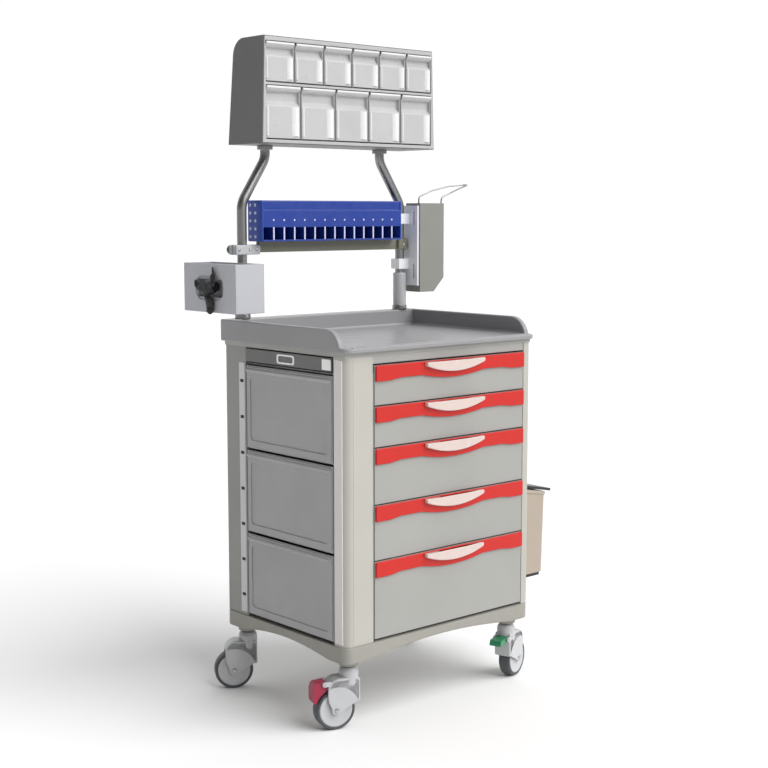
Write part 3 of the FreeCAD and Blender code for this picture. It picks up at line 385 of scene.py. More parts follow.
def prism(name, outline, axis, start, end, material, width=0.001, segments=2):
    """A solid whose outline lies across an axis, from start to end along it, with rounded edges."""
    bm = bmesh.new()
    rings = [[bm.verts.new(lift(axis, level, u, v)) for u, v in outline] for level in (start, end)]
    bm.faces.new(rings[0][::-1])
    bm.faces.new(rings[1])
    for n in range(len(outline)):
        m = (n + 1) % len(outline)
        bm.faces.new((rings[0][n], rings[0][m], rings[1][m], rings[1][n]))
    return bevel(add_object(name, bm, material), width, segments)


def round_rect(u0, v0, u1, v1, radii, steps=7):
    """A rectangle's outline with a radius for each corner, counterclockwise from the low one."""
    outline = []
    corners = ((u0, v0, 1, 1), (u1, v0, -1, 1), (u1, v1, -1, -1), (u0, v1, 1, -1))
    for number, ((u, v, du, dv), radius) in enumerate(zip(corners, radii)):
        for step in range(steps + 1):
            angle = math.pi + (number + step / steps) * math.pi / 2
            centre = (u + du * radius, v + dv * radius)
            outline.append((centre[0] + radius * math.cos(angle), centre[1] + radius * math.sin(angle)))
    return outline


def arc_between(start, end, bow, steps=10):
    """Points from start to end on an arc that bows to the left of the way it runs."""
    start = Vector(start)
    end = Vector(end)
    run = end - start
    left = Vector((-run.y, run.x)).normalized()
    half = run.length / 2
    radius = (half * half + bow * bow) / (2 * bow)
    centre = (start + end) / 2 + left * (bow - radius)
    points = []
    first = start - centre
    sweep = first.angle_signed(end - centre)
    for step in range(steps + 1):
        angle = -sweep * step / steps
        turned = Vector(
            (
                first.x * math.cos(angle) - first.y * math.sin(angle),
                first.x * math.sin(angle) + first.y * math.cos(angle),
            )
        )
        points.append(tuple(centre + turned))
    return points


def lathe(name, profile, centre, axis, material, sides=48):
    """A profile of (radius, height) points turned about an axis through centre."""
    bm = bmesh.new()
    turn = Vector((0, 0, 1)).rotation_difference(Vector(axis)).to_matrix()
    rings = []
    for radius, height in profile:
        count = 1 if radius < 1e-6 else sides
        ring = []
        for step in range(count):
            angle = 2 * math.pi * step / sides
            point = turn @ Vector((radius * math.cos(angle), radius * math.sin(angle), height))
            ring.append(bm.verts.new(Vector(centre) + point))
        rings.append(ring)
    for low, high in zip(rings, rings[1:]):
        for step in range(sides):
            following = (step + 1) % sides
            corners = [low[step % len(low)], low[following % len(low)]]
            corners += [high[following % len(high)], high[step % len(high)]]
            unique = list(dict.fromkeys(corners))
            if len(unique) > 2:
                bm.faces.new(unique)
    return weigh_normals(shade(add_object(name, bm, material), 30))


def plate(name, loops, middle, u, v, thickness, material, edge=0.0004):
    """A flat plate with holes: the outer loop and then the holes, as (u, v) from middle."""
    curve = bpy.data.curves.new(name, "CURVE")
    curve.dimensions = "2D"
    curve.fill_mode = "BOTH"
    curve.extrude = thickness / 2 - edge
    curve.bevel_depth = edge
    curve.bevel_resolution = 1
    curve.offset = -edge
    for loop in loops:
        spline = curve.splines.new("POLY")
        spline.points.add(len(loop) - 1)
        for point, (a, b) in zip(spline.points, loop):
            point.co = (a, b, 0, 1)
        spline.use_cyclic_u = True
    holder = bpy.data.objects.new(name, curve)
    mesh = bpy.data.meshes.new_from_object(holder)
    bpy.data.objects.remove(holder)
    u = Vector(u)
    v = Vector(v)
    turn = Matrix((u, v, u.cross(v))).transposed().to_4x4()
    mesh.transform(Matrix.Translation(Vector(middle)) @ turn)
    bm = bmesh.new()
    bm.from_mesh(mesh)
    bmesh.ops.remove_doubles(bm, verts=bm.verts, dist=0.00002)
    obj = add_object(name, bm, material)
    return weigh_normals(shade(obj, 30))


def screw(name, point, axis, radius=0.0035):
    """A domed screw head with a hexagon socket, on a surface that faces along axis."""
    tall = radius * 0.6
    socket = radius * 0.42
    profile = [
        (0, tall * 0.45),
        (socket, tall * 0.45),
        (socket, tall * 0.95),
        (radius * 0.75, tall * 0.8),
        (radius * 0.96, tall * 0.4),
        (radius, -0.0005),
        (0, -0.0005),
    ]
    return lathe(name, profile, point, axis, SCREW, 24)


# ---------------------------------------------------------------- cabinet


def make_base():
    """The moulded base: one skin with a skirt that arches between the corners, rounded top and bottom edges."""
    low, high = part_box("base_deck")
    skirt = 14 * MM
    plate_thick = 12 * MM
    corner = 22 * MM
    bottom = CORNER.z + 169 * MM
    rise = 18 * MM
    inset = 66 * MM
    soft = 3.5 * MM
    outline = round_rect(low.x, low.y, high.x, high.y, [corner] * 4, 10)
    dense = []
    for n, (x, y) in enumerate(outline):
        after = outline[(n + 1) % len(outline)]
        run = Vector((after[0] - x, after[1] - y))
        count = max(1, int(run.length / (9 * MM)))
        for step in range(count):
            dense.append((x + run.x * step / count, y + run.y * step / count))
    middle = Vector(((low.x + high.x) / 2, (low.y + high.y) / 2))
    half = Vector(((high.x - low.x) / 2, (high.y - low.y) / 2))

    def normal(x, y):
        """Outward direction at a point of the outline."""
        dx = max(abs(x - middle.x) - (half.x - corner), 0)
        dy = max(abs(y - middle.y) - (half.y - corner), 0)
        return Vector((math.copysign(dx, x - middle.x), math.copysign(dy, y - middle.y))).normalized()

    def lower_edge(x, y):
        """How high the skirt's lower edge is: an arc along each side."""
        out = normal(x, y)
        along, span = (y - middle.y, half.y) if abs(out.x) > abs(out.y) else (x - middle.x, half.x)
        reach = span - inset
        if abs(along) >= reach:
            return bottom
        return bottom + rise * (1 - (along / reach) ** 2) * (1 - 0.15 * (along / reach) ** 2)

    bm = bmesh.new()
    rings = []
    for x, y in dense:
        out = normal(x, y)
        floor = lower_edge(x, y)
        section = [
            (skirt, high.z - plate_thick),
            (skirt, floor + 1.5 * MM),
            (skirt - 1.5 * MM, floor),
            (soft, floor),
            (soft * 0.3, floor + soft * 0.3),
            (0, floor + soft),
            (0, high.z - soft),
            (soft * 0.3, high.z - soft * 0.3),
            (soft, high.z),
        ]
        rings.append([bm.verts.new((x - out.x * depth, y - out.y * depth, z)) for depth, z in section])
    for n in range(len(rings)):
        here = rings[n]
        after = rings[(n + 1) % len(rings)]
        for k in range(len(here) - 1):
            bm.faces.new((here[k], after[k], after[k + 1], here[k + 1]))
    bm.faces.new([ring[-1] for ring in rings])
    bm.faces.new([ring[0] for ring in rings][::-1])
    deck = weigh_normals(shade(add_object("base_skin", bm, MATERIALS["moulded_base"]), 40))
    pieces = [deck]
    for caster in ("fl", "fr", "rl", "rr"):
        stem = joint_place(f"swivel_{caster}_turn")
        foot = Vector((stem.x, stem.y, 0))
        profile = [
            (0, 0.152),
            (0.020, 0.152),
            (0.0232, 0.1535),
            (0.024, 0.156),
            (0.024, 0.192),
            (0.027, 0.1975),
            (0, 0.1975),
        ]
        pieces.append(lathe(f"boss_{caster}", profile, foot, (0, 0, 1), MATERIALS["moulded_base"]))
    finish_piece(join("base_moulding", pieces), "chassis", "moulded_base", "base_deck")


def joint_place(name):
    """Where a joint is at rest."""
    for joint in frame["record"]["behaviour"]["joints"]:
        if joint["name"] == name:
            return Vector(joint["pos_m"])
    raise KeyError(name)


def joint_axis(name):
    for joint in frame["record"]["behaviour"]["joints"]:
        if joint["name"] == name:
            return Vector(joint["axis"]).normalized()
    raise KeyError(name)


def make_posts():
    """Corner posts with a full radius on the outer corner, the front stile, and the slotted strip. A pale strip on the
    front left post's left face is a painted highlight, and the front posts take the lighter stile paint, partly as a
    painted highlight.
    """
    low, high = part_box("corner_posts")
    wide = 24 * MM
    outer = 8 * MM
    round_front = 23 * MM
    small = 1.2 * MM
    paint = MATERIALS["post_aluminium"]
    plans = {
        "fl": (low.x, low.y, low.x + wide, low.y + 43 * MM, (round_front, small, small, small)),
        "rl": (low.x, high.y - 89 * MM, low.x + wide, high.y, (small, small, small, outer)),
        "fr": (high.x - wide, low.y, high.x, low.y + wide, (small, outer, small, small)),
        "rr": (high.x - wide, high.y - wide, high.x, high.y, (small, small, outer, small)),
    }
    pieces = []
    for name, (x0, y0, x1, y1, radii) in plans.items():
        outline = round_rect(x0, y0, x1, y1, radii, 12)
        # The front posts take the lighter stile paint: partly their own paint, partly a painted highlight on the front
        # left post's rounded corner.
        coat = MATERIALS["stile_grey"] if name[0] == "f" else paint
        pieces.append(prism(f"post_{name}", outline, "z", low.z, high.z, coat, 0.0006))
    finish_piece(join("posts", pieces), "chassis", "post_aluminium", "corner_posts")
    # A pale strip on the front left post's left face: a painted highlight along that corner.
    proud = 0.3 * MM
    end_gap = 6 * MM
    strip_from = (low.x - proud, low.y + round_front * 0.55, low.z + end_gap)
    strip_to = (low.x + 2.0 * MM, low.y + 41 * MM, high.z - end_gap)
    corner_highlight_strip = block("corner_highlight_strip", strip_from, strip_to, CORNER_HIGHLIGHT_PAINT, 0.0006, 2)
    finish_piece(corner_highlight_strip, "chassis", "post_aluminium")

    slow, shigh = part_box("front_stile")
    outline = round_rect(slow.x + 0.0004, slow.y + 0.0006, shigh.x, shigh.y, (small, small * 1.6, small, small))
    stile = prism("stile", outline, "z", slow.z, shigh.z, MATERIALS["stile_grey"], 0.0008)
    finish_piece(stile, "chassis", "stile_grey", "front_stile")

    strip_wide = 24 * MM
    strip_low = low.z + 8 * MM
    strip_high = high.z - 40 * MM
    middle = Vector((low.x - 0.0006, high.y - 73 * MM, (strip_low + strip_high) / 2))
    half = (strip_high - strip_low) / 2
    loops = [round_rect(-strip_wide / 2, -half, strip_wide / 2, half, [0.002] * 4, 4)]
    pitch = 88 * MM
    count = int(2 * half / pitch)
    for n in range(count):
        v = -half + (n + 0.5) * 2 * half / count
        loops.append(round_rect(-0.0075, v - 0.004, 0.0075, v + 0.004, [0.0018] * 4, 3))
    strip = plate("slot_strip", loops, middle, (0, 1, 0), (0, 0, 1), 0.0014, STRIP)
    finish_piece(strip, "chassis", "post_aluminium")
    # A dark plate behind the slots: painted shade, so the slots read dark.
    back = block(
        "slot_strip_painted_shade",
        (low.x - 0.0003, middle.y - 0.008, strip_low + 0.01),
        (low.x + 0.001, middle.y + 0.008, strip_high - 0.01),
        DARK,
        0.0002,
        1,
    )
    finish_piece(back, "chassis", "post_aluminium")


def make_worktop():
    """The moulded worktop: its edges fully rounded, a bead along its front and coves inside its guard."""
    low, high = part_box("worktop")
    surface = CORNER.z + 920 * MM
    wall = 16 * MM
    ledge = 43 * MM
    toe = CORNER.y + 12 * MM
    plastic_top = MATERIALS["worktop_abs"]
    pieces = [softened("worktop", 0.0052, 5, "worktop_shell")]
    cove = 10 * MM
    sunk = surface - 0.001
    for name, x, way in (("left", low.x + wall - 0.0006, 1), ("right", high.x - wall + 0.0006, -1)):
        curve = [
            (x + way * (cove - cove * math.sin(a)), sunk + cove - cove * math.cos(a))
            for a in [math.pi / 2 * n / 8 for n in range(9)]
        ]
        profile = [(x, sunk)] + curve
        pieces.append(prism(f"cove_{name}", profile, "y", toe + 0.02, high.y - ledge + 0.002, plastic_top, 0.0001, 1))
    y = high.y - ledge + 0.0006
    curve = [
        (y - (cove - cove * math.sin(a)), sunk + cove - cove * math.cos(a))
        for a in [math.pi / 2 * n / 8 for n in range(9)]
    ]
    pieces.append(prism("cove_rear", [(y, sunk)] + curve, "x", low.x + wall, high.x - wall, plastic_top, 0.0001, 1))
    bead = [(low.y + 0.0045 + 0.007 * n / 8, surface - 0.0008 + 0.0032 * math.sin(math.pi * n / 8)) for n in range(9)]
    pieces.append(prism("front_bead", bead, "x", low.x + 0.024, high.x - 0.024, plastic_top, 0.0006, 2))
    finish_piece(join("worktop_moulding", pieces), "chassis", "worktop_abs", "worktop")


def make_shelf_details():
    """The latch at the front end of the shelf's edge, and its finger recess."""
    low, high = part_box("side_shelf")
    latch_low = (low.x - 0.003, low.y + 0.001, low.z + 0.003)
    latch_high = (low.x + 0.003, low.y + 0.032, high.z - 0.003)
    latch = block("shelf_latch", latch_low, latch_high, LATCH, 0.0016, 3)
    finish_piece(latch, "side_shelf_body", "handle_white")
    middle = Vector((low.x - 0.0008, low.y + 0.172, (low.z + high.z) / 2))
    loops = [
        round_rect(-0.034, -0.0115, 0.034, 0.0115, [0.006] * 4, 5),
        round_rect(-0.029, -0.0075, 0.029, 0.0075, [0.005] * 4, 5),
    ]
    pull = plate("shelf_pull", loops, middle, (0, 1, 0), (0, 0, 1), 0.002, MATERIALS["bracket_steel"])
    finish_piece(pull, "side_shelf_body", "shelf_grey")


def make_side_bin_fronts():
    """A proud panel and a rolled lip on each tilt-out side bin, and a pale sill on the chassis above each bin, whose
    brightness is partly painted light.
    """
    for number in range(1, 4):
        node = f"side_bin_{number}"
        low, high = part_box(node)
        front = low.y + 0.007
        back = high.y - 0.007
        smoke = MATERIALS["side_bin_smoke"]
        outline = round_rect(front + 0.003, low.z + 0.004, back - 0.003, high.z - 0.003, [0.007] * 4, 5)
        inner = round_rect(front + 0.017, low.z + 0.020, back - 0.017, high.z - 0.030, [0.010] * 4, 5)
        middle = Vector((low.x - 0.0012, 0, 0))
        frame_ring = plate(f"bin_face_{number}", [outline, inner], middle, (0, 1, 0), (0, 0, 1), 0.0026, smoke, 0.001)
        lip_z = high.z - 0.019
        lip = [
            (low.x, lip_z),
            (low.x - 0.0052, lip_z + 0.003),
            (low.x - 0.0068, lip_z + 0.007),
            (low.x - 0.0060, lip_z + 0.0105),
            (low.x, lip_z + 0.013),
        ]
        roll = prism(f"bin_lip_{number}", lip, "y", front + 0.004, back - 0.004, smoke, 0.0012, 2)
        finish_piece(join(f"side_bin_front_{number}", [frame_ring, roll]), f"{node}_body", "side_bin_smoke")
        # A pale chassis sill inside the gap above each bin: a real strip, with its paint kept bright to offset the
        # shade in the gap, so partly painted light.
        sill_low = (low.x + 0.012, low.y + 0.001, high.z + 0.0012)
        sill_high = (low.x + 0.020, high.y - 0.001, high.z + 0.0048)
        sill = block(f"side_painted_light_sill_{number}", sill_low, sill_high, STRIP, 0.0006, 2)
        finish_piece(sill, "chassis", "panel_steel")


# ---------------------------------------------------------------- upper cabinet and rack


def make_tilt_bin(row, number):
    """A milky tilt bin: an open tub whose front has a finger scoop under its lip and two raised bands; the bands and
    the lip are in a lighter copy of the bin plastic, a painted highlight.
    """
    node = f"{row}_bin_{number}"
    low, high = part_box(node)
    x0 = low.x + 0.002
    x1 = high.x - 0.002
    front = CORNER.y + 340 * MM
    bottom = low.z
    top = high.z
    scoop = bottom + (top - bottom) * 0.60
    deep = 9 * MM
    thick = 2.2 * MM
    skin = MATERIALS["bin_clear"]
    outer = [(front, bottom), (front, scoop)]
    outer += [
        (front + deep * (1 - math.cos(a)) / 2, scoop + 0.016 * a / math.pi)
        for a in [math.pi * n / 8 for n in range(1, 9)]
    ]
    outer += [(front + deep, top - 0.016)]
    outer += [
        (front + deep - (deep + 0.004) * math.sin(a), top - 0.016 + 0.012 * (1 - math.cos(a)))
        for a in [math.pi / 2 * n / 6 for n in range(1, 7)]
    ]
    outer += [(front - 0.0045, top - 0.001)]
    inner = [(y + thick, z) for y, z in outer]
    inner[-1] = (front - 0.0045 + thick, top - 0.001)
    pieces = [prism(f"{node}_wall", outer + inner[::-1], "x", x0 + 0.0005, x1 - 0.0005, skin, 0.0005, 1)]
    rear = high.y
    rear_top = bottom + (78 if row == "low" else 56) * MM
    cheek = [(front, bottom), (rear, bottom), (rear, rear_top), (front + 0.004, top - 0.003), (front, top - 0.006)]
    for side, x in (("left", x0), ("right", x1 - 0.002)):
        pieces.append(prism(f"{node}_{side}", cheek, "x", x, x + 0.002, skin, 0.0005, 1))
    pieces.append(block(f"{node}_floor", (x0, front, bottom), (x1, rear, bottom + 0.002), skin, 0.0005, 1))
    pieces.append(block(f"{node}_rear", (x0, rear - 0.002, bottom), (x1, rear, rear_top), skin, 0.0005, 1))
    wide = x1 - x0
    # The raised bands in the lighter bin plastic: painted highlight bands down each bin's front.
    for side, left, right in (("l", 0.004, 0.09), ("r", 0.74, 0.99)):
        swell = [
            (x0 + wide * (left + (right - left) * n / 10), front + 0.0012 - 0.0042 * math.sin(math.pi * n / 10))
            for n in range(11)
        ]
        pieces.append(prism(f"{node}_rib_{side}", swell, "z", bottom + 0.007, scoop + 0.001, BIN_HIGHLIGHT_EDGE, 0.0004, 1))
    # The lip in the lighter bin plastic: a painted highlight line along each bin's top.
    lip_low = (x0 + 0.0015, front - 0.0052, top - 0.0065)
    lip_high = (x1 - 0.0015, front - 0.0015, top - 0.0015)
    pieces.append(block(f"{node}_lip", lip_low, lip_high, BIN_HIGHLIGHT_EDGE, 0.0012, 3))
    finish_piece(join(f"{node}_tub", pieces), f"{node}_body", "bin_clear", node)


def make_cabinet_bezel():
    """A lighter bezel round the two rows of bins."""
    low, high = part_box("bin_cabinet")
    front = low.y
    taper = 8 * MM
    left_bottom = low.x + 0.002
    right_bottom = high.x - 0.002
    cell = CORNER.x + 35 * MM
    cell_right = high.x - (cell - low.x)
    bottom = high.z - 258 * MM
    top = high.z - 2 * MM
    outer = [
        (left_bottom, bottom),
        (right_bottom, bottom),
        (right_bottom - taper, top),
        (left_bottom + taper, top),
    ]
    rows = [
        (CORNER.z + 1410 * MM, CORNER.z + 1542 * MM),
        (CORNER.z + 1548 * MM, CORNER.z + 1648 * MM),
    ]
    holes = [round_rect(cell, z0, cell_right, z1, [0.003] * 4, 3) for z0, z1 in rows]
    middle = Vector((0, front - 0.0008, 0))
    bezel = plate("cabinet_bezel", [outer] + holes, middle, (1, 0, 0), (0, 0, 1), 0.002, BEZEL, 0.0008)
    finish_piece(bezel, "chassis", "housing_grey")


def make_rack():
    """The pocket rack: solid end plates with pale discs that paint the light seen through holes, a stepped front over
    the windows, and pale dividers.
    """
    low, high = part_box("pocket_rack")
    blue = MATERIALS["rack_blue"]
    wall = 3 * MM
    window = low.z + 36 * MM
    pieces = []
    depth = high.y - low.y
    height = high.z - low.z
    # Places for the pale discs that paint the light seen through holes in the end plates.
    holes = []
    for row in range(5):
        for column in range(2):
            v = -height / 2 + 0.012 + row * 0.020
            holes.append((-depth / 2 + 0.030 + column * 0.021, v))
    for side, x in (("left", low.x + wall / 2), ("right", high.x - wall / 2)):
        middle = Vector((x, (low.y + high.y) / 2, (low.z + high.z) / 2))
        loops = [round_rect(-depth / 2, -height / 2, depth / 2, height / 2, [0.004] * 4, 4)]
        pieces.append(plate(f"rack_end_{side}", loops, middle, (0, 1, 0), (0, 0, 1), wall, RACK_END, 0.0006))
    inner_x = (low.x + wall - 0.0005, high.x - wall + 0.0005)
    pieces.append(block("rack_floor", (inner_x[0], low.y, low.z), (inner_x[1], high.y, low.z + wall), blue, 0.0006))
    pieces.append(block("rack_back", (inner_x[0], high.y - wall, low.z), (inner_x[1], high.y, high.z), blue, 0.0008))
    front = [
        (low.y, window),
        (low.y, high.z - 0.026),
        (low.y + 0.0022, high.z - 0.0235),
        (low.y + 0.0022, high.z - 0.004),
        (low.y + 0.0034, high.z - 0.0008),
        (low.y + 0.0052, high.z),
        (low.y + 0.0062, high.z - 0.001),
        (low.y + 0.0062, window + 0.002),
        (low.y + 0.0045, window),
    ]
    pieces.append(prism("rack_front", front, "x", inner_x[0], inner_x[1], blue, 0.0005, 2))
    sill = (inner_x[0], low.y - 0.001, low.z)
    pieces.append(block("rack_sill", sill, (inner_x[1], low.y + 0.006, low.z + 0.0045), blue, 0.001))
    finish_piece(join("rack_body", pieces), "chassis", "rack_blue", "pocket_rack")
    walls = []
    studs = []
    count = 14
    divider = 2.4 * MM
    pitch = (high.x - low.x - 2 * wall + divider) / count
    # Pale discs on both end plates: painted light in place of light seen through holes; the plates themselves have no
    # holes.
    for number, (y, z) in enumerate(holes):
        for side, x, way in (("left", low.x, -1), ("right", high.x, 1)):
            middle = (x, (low.y + high.y) / 2 + y, (low.z + high.z) / 2 + z)
            profile = [(0, 0.0003), (0.0020, 0.0003), (0.0024, 0.0012)]
            profile += [(0.0040, 0.0010), (0.0044, -0.0004), (0, -0.0004)]
            studs.append(lathe(f"rack_eyelet_{side}_{number}", profile, middle, (way, 0, 0), DIVIDER, 16))
    for number in range(1, count):
        x = low.x + wall + number * pitch - divider
        outline = [
            (low.y - 0.0008, low.z + 0.004),
            (low.y - 0.0008, window + 0.0005),
            (low.y + 0.0065, window + 0.0005),
            (low.y + 0.0065, high.z - 0.004),
            (high.y - wall, high.z - 0.004),
            (high.y - wall, low.z + 0.002),
            (low.y + 0.006, low.z + 0.002),
        ]
        walls.append(prism(f"rack_wall_{number}", outline, "x", x, x + divider, MATERIALS["rack_blue"], 0.0006, 2))
        cap_low = (x - 0.0010, low.y - 0.0012, low.z + 0.004)
        cap_high = (x + divider + 0.0010, low.y + 0.0012, window + 0.0005)
        walls.append(block(f"rack_cap_{number}", cap_low, cap_high, DIVIDER, 0.0008, 2))
        stud = Vector((x + divider / 2, low.y, low.z + 54 * MM))
        profile = [(0, 0.0014), (0.0016, 0.0012), (0.0026, 0.0004), (0.0028, -0.0005), (0, -0.0005)]
        studs.append(lathe(f"rack_stud_{number}", profile, stud, (0, -1, 0), DIVIDER, 16))
    finish_piece(join("rack_dividers", walls), "chassis", "rack_blue")
    finish_piece(join("rack_studs", studs), "chassis", "rack_blue")


def make_rail():
    """The cross rail with a pale split clamp on the left mast and a dark one on the right."""
    low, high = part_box("mast_rail")
    half = 17 * MM
    mid_y = (low.y + high.y) / 2
    bar_low = (low.x + 0.079, mid_y - 0.007, high.z - 0.028)
    bar = block("rail_bar", bar_low, (high.x - 0.033, mid_y + 0.007, high.z), MATERIALS["rail_olive"], 0.0018, 3)
    right_x = high.x - half
    clamp = block(
        "rail_clamp_right",
        (high.x - 2 * half, mid_y - half, high.z - 0.028),
        (high.x, mid_y + half, high.z),
        MATERIALS["rail_olive"],
        0.003,
        3,
    )
    seam = block(
        "rail_seam_right",
        (high.x - 2 * half - 0.0002, mid_y - 0.0008, high.z - 0.0275),
        (high.x + 0.0002, mid_y + 0.0008, high.z + 0.0002),
        DARK,
        0.0001,
        1,
    )
    pieces = [bar, clamp, seam]
    for z in (high.z - 0.014,):
        pieces.append(screw("rail_screw_right", (right_x, mid_y - half, z), (0, -1, 0), 0.0045))
    finish_piece(join("rail", pieces), "chassis", "rail_olive", "mast_rail")
    mast = CORNER.x + 43 * MM
    c_low = low.z
    c_high = low.z + 0.025
    grip = block("grip", (low.x, mid_y - half, c_low), (mast + 0.020, mid_y + half, c_high), PALE, 0.0035, 4)
    arm = block("arm", (mast + 0.019, mid_y - 0.012, c_low), (low.x + 0.080, mid_y + 0.012, c_high), PALE, 0.0030, 4)
    split = block(
        "grip_split",
        (low.x - 0.0002, mid_y - 0.0007, c_low + 0.0005),
        (mast + 0.0205, mid_y + 0.0007, c_high + 0.0002),
        DARK,
        0.0001,
        1,
    )
    left = [grip, arm, split]
    for n, x in enumerate((low.x + 0.010, mast + 0.013, low.x + 0.068)):
        y = mid_y - (half if n < 2 else 0.012)
        left.append(screw(f"grip_screw_{n}", (x, y, (c_low + c_high) / 2), (0, -1, 0), 0.0042))
    knob = [(0, 0.020), (0.006, 0.020), (0.010, 0.0185), (0.0115, 0.016)]
    knob += [(0.0115, 0.006), (0.0055, 0.004), (0.005, 0), (0, 0)]
    knob_foot = (mast - 0.013, mid_y + half - 0.0005, (c_low + c_high) / 2)
    left.append(lathe("grip_knob", knob, knob_foot, (0, 1, 0), KNOB, 32))
    finish_piece(join("rail_end_clamp", left), "chassis", "bracket_steel")


def make_mast_details():
    """The pale sleeve round the right mast's foot, and a set screw in each collar."""
    low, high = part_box("masts")
    mid_y = (low.y + high.y) / 2
    left = CORNER.x + 43 * MM
    right = CORNER.x + (625 - 43) * MM
    foot = CORNER.z + 963 * MM
    profile = [
        (0.0172, 0.011),
        (0.0182, 0.0125),
        (0.0184, 0.014),
        (0.0184, 0.098),
        (0.0180, 0.1005),
        (0.0168, 0.1022),
        (0.0130, 0.1028),
    ]
    sleeve = lathe("mast_sleeve", profile, (right, mid_y, foot), (0, 0, 1), PALE, 48)
    finish_piece(sleeve, "chassis", "bracket_steel")
    screws = []
    for n, x in enumerate((left, right)):
        screws.append(screw(f"collar_screw_{n}", (x, mid_y - 0.0198, foot + 0.006), (0, -1, 0), 0.003))
    finish_piece(join("collar_screws", screws), "chassis", "mast_steel")


# ---------------------------------------------------------------- accessories


def make_glove_holder():
    """The sheet holder with a round-ended mouth in its outer face, its arm and its mast clamp."""
    low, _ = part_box("glove_holder")
    sheet = 2 * MM
    x1 = CORNER.x - 4 * MM
    y1 = CORNER.y + 520 * MM
    z1 = CORNER.z + 1107 * MM
    steel = MATERIALS["holder_steel"]
    mid_y = (low.y + y1) / 2
    mid_z = (low.z + z1) / 2
    half_y = (y1 - low.y) / 2
    half_z = (z1 - low.z) / 2
    mouth = round_rect(-0.060, -0.030, 0.060, 0.030, [0.0295] * 4, 8)
    face = [round_rect(-half_y, -half_z, half_y, half_z, [0.003] * 4, 4), mouth]
    middle = Vector((low.x + sheet / 2, mid_y, mid_z))
    pieces = [plate("holder_face", face, middle, (0, 1, 0), (0, 0, 1), sheet, steel, 0.0007)]
    pieces.append(block("holder_front", low, (x1, low.y + sheet, z1), steel, 0.0009, 3))
    pieces.append(block("holder_rear", (low.x, y1 - sheet, low.z), (x1, y1, z1), steel, 0.0009, 3))
    pieces.append(block("holder_inner", (x1 - sheet, low.y, low.z), (x1, y1, z1), steel, 0.0009, 3))
    pieces.append(block("holder_floor", low, (x1, y1, low.z + sheet), steel, 0.0009, 3))
    mast = Vector((CORNER.x + 43 * MM, CORNER.y + 455 * MM, mid_z))
    arm_low = (x1 - 0.001, mast.y - 0.012, mid_z - 0.015)
    pieces.append(block("holder_arm", arm_low, (mast.x - 0.016, mast.y + 0.012, mid_z + 0.015), steel, 0.002, 3))
    grip_low = (mast.x - 0.017, mast.y - 0.017, mid_z - 0.020)
    pieces.append(block("holder_grip", grip_low, (mast.x + 0.017, mast.y + 0.017, mid_z + 0.020), steel, 0.004, 4))
    for n, z in enumerate((-0.010, 0.010)):
        pieces.append(screw(f"holder_screw_{n}", (mast.x, mast.y - 0.017, mid_z + z), (0, -1, 0), 0.0042))
    finish_piece(join("dispenser_holder", pieces), "chassis", "holder_steel", "glove_holder")


def make_glove():
    """A crumpled nitrile glove: a wad in the mouth, a cuff hanging down, a finger up and a thumb to the side."""
    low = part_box("glove")[0]
    face = CORNER.x - 90 * MM
    middle = Vector((face, CORNER.y + 410 * MM, CORNER.z + 1047 * MM))
    runs = [
        # from and to: out from the face, along Y and up, then the radius at each end
        ((10, -8, 2), (-4, -6, 0), 15, 17),
        ((-5, -10, 4), (-8, -26, 12), 15, 11),
        ((-6, -6, 0), (-9, 18, -4), 15, 12),
        ((-8, 16, -4), (-9, 42, 6), 11, 7),
        ((-9, 40, 4), (-8, 46, 14), 7, 5),
        ((-8, -24, 12), (-7, -25, 32), 9, 6),
        ((-7, -25, 30), (-6, -24, 50), 5, 3),
        ((-8, 8, -8), (-8, -2, -26), 10, 8),
        ((-8, -2, -24), (-8, -12, -38), 9, 13),
        ((-8, -12, -36), (-8, -14, -50), 14, 12),
    ]
    bm = bmesh.new()
    for start, end, first, last in runs:
        a = middle + Vector(start) * MM
        b = middle + Vector(end) * MM
        steps = 7
        for step in range(steps + 1):
            part = step / steps
            radius = (first + (last - first) * part) * MM
            point = a.lerp(b, part)
            ball = Matrix.Translation(point) @ Matrix.Diagonal((0.72, 1, 1, 1))
            bmesh.ops.create_icosphere(bm, subdivisions=2, radius=radius, matrix=ball)
    glove = add_object("glove_skin", bm, MATERIALS["glove_black"])
    remesh = glove.modifiers.new("weld", "REMESH")
    remesh.mode = "VOXEL"
    remesh.voxel_size = 0.0016
    apply_modifiers(glove)
    mesh = glove.data
    normals = [vert.normal.copy() for vert in mesh.vertices]
    for vert, out in zip(mesh.vertices, normals):
        fold = noise.noise(vert.co * 55 + Vector((3.1, 0.7, 9.2)))
        crease = 1 - abs(noise.noise(vert.co * 130 + Vector((0.4, 5.5, 1.3)))) * 2
        vert.co += out * (fold * 0.0042 + (crease - 0.5) * 0.0016)
        vert.co.x = min(vert.co.x, face + 0.024)
        vert.co.x = max(vert.co.x, low.x)
    smooth = glove.modifiers.new("smooth", "SMOOTH")
    smooth.iterations = 3
    smooth.factor = 0.5
    apply_modifiers(glove)
    shade(glove, 180)
    finish_piece(glove, "chassis", "glove_black", "glove")


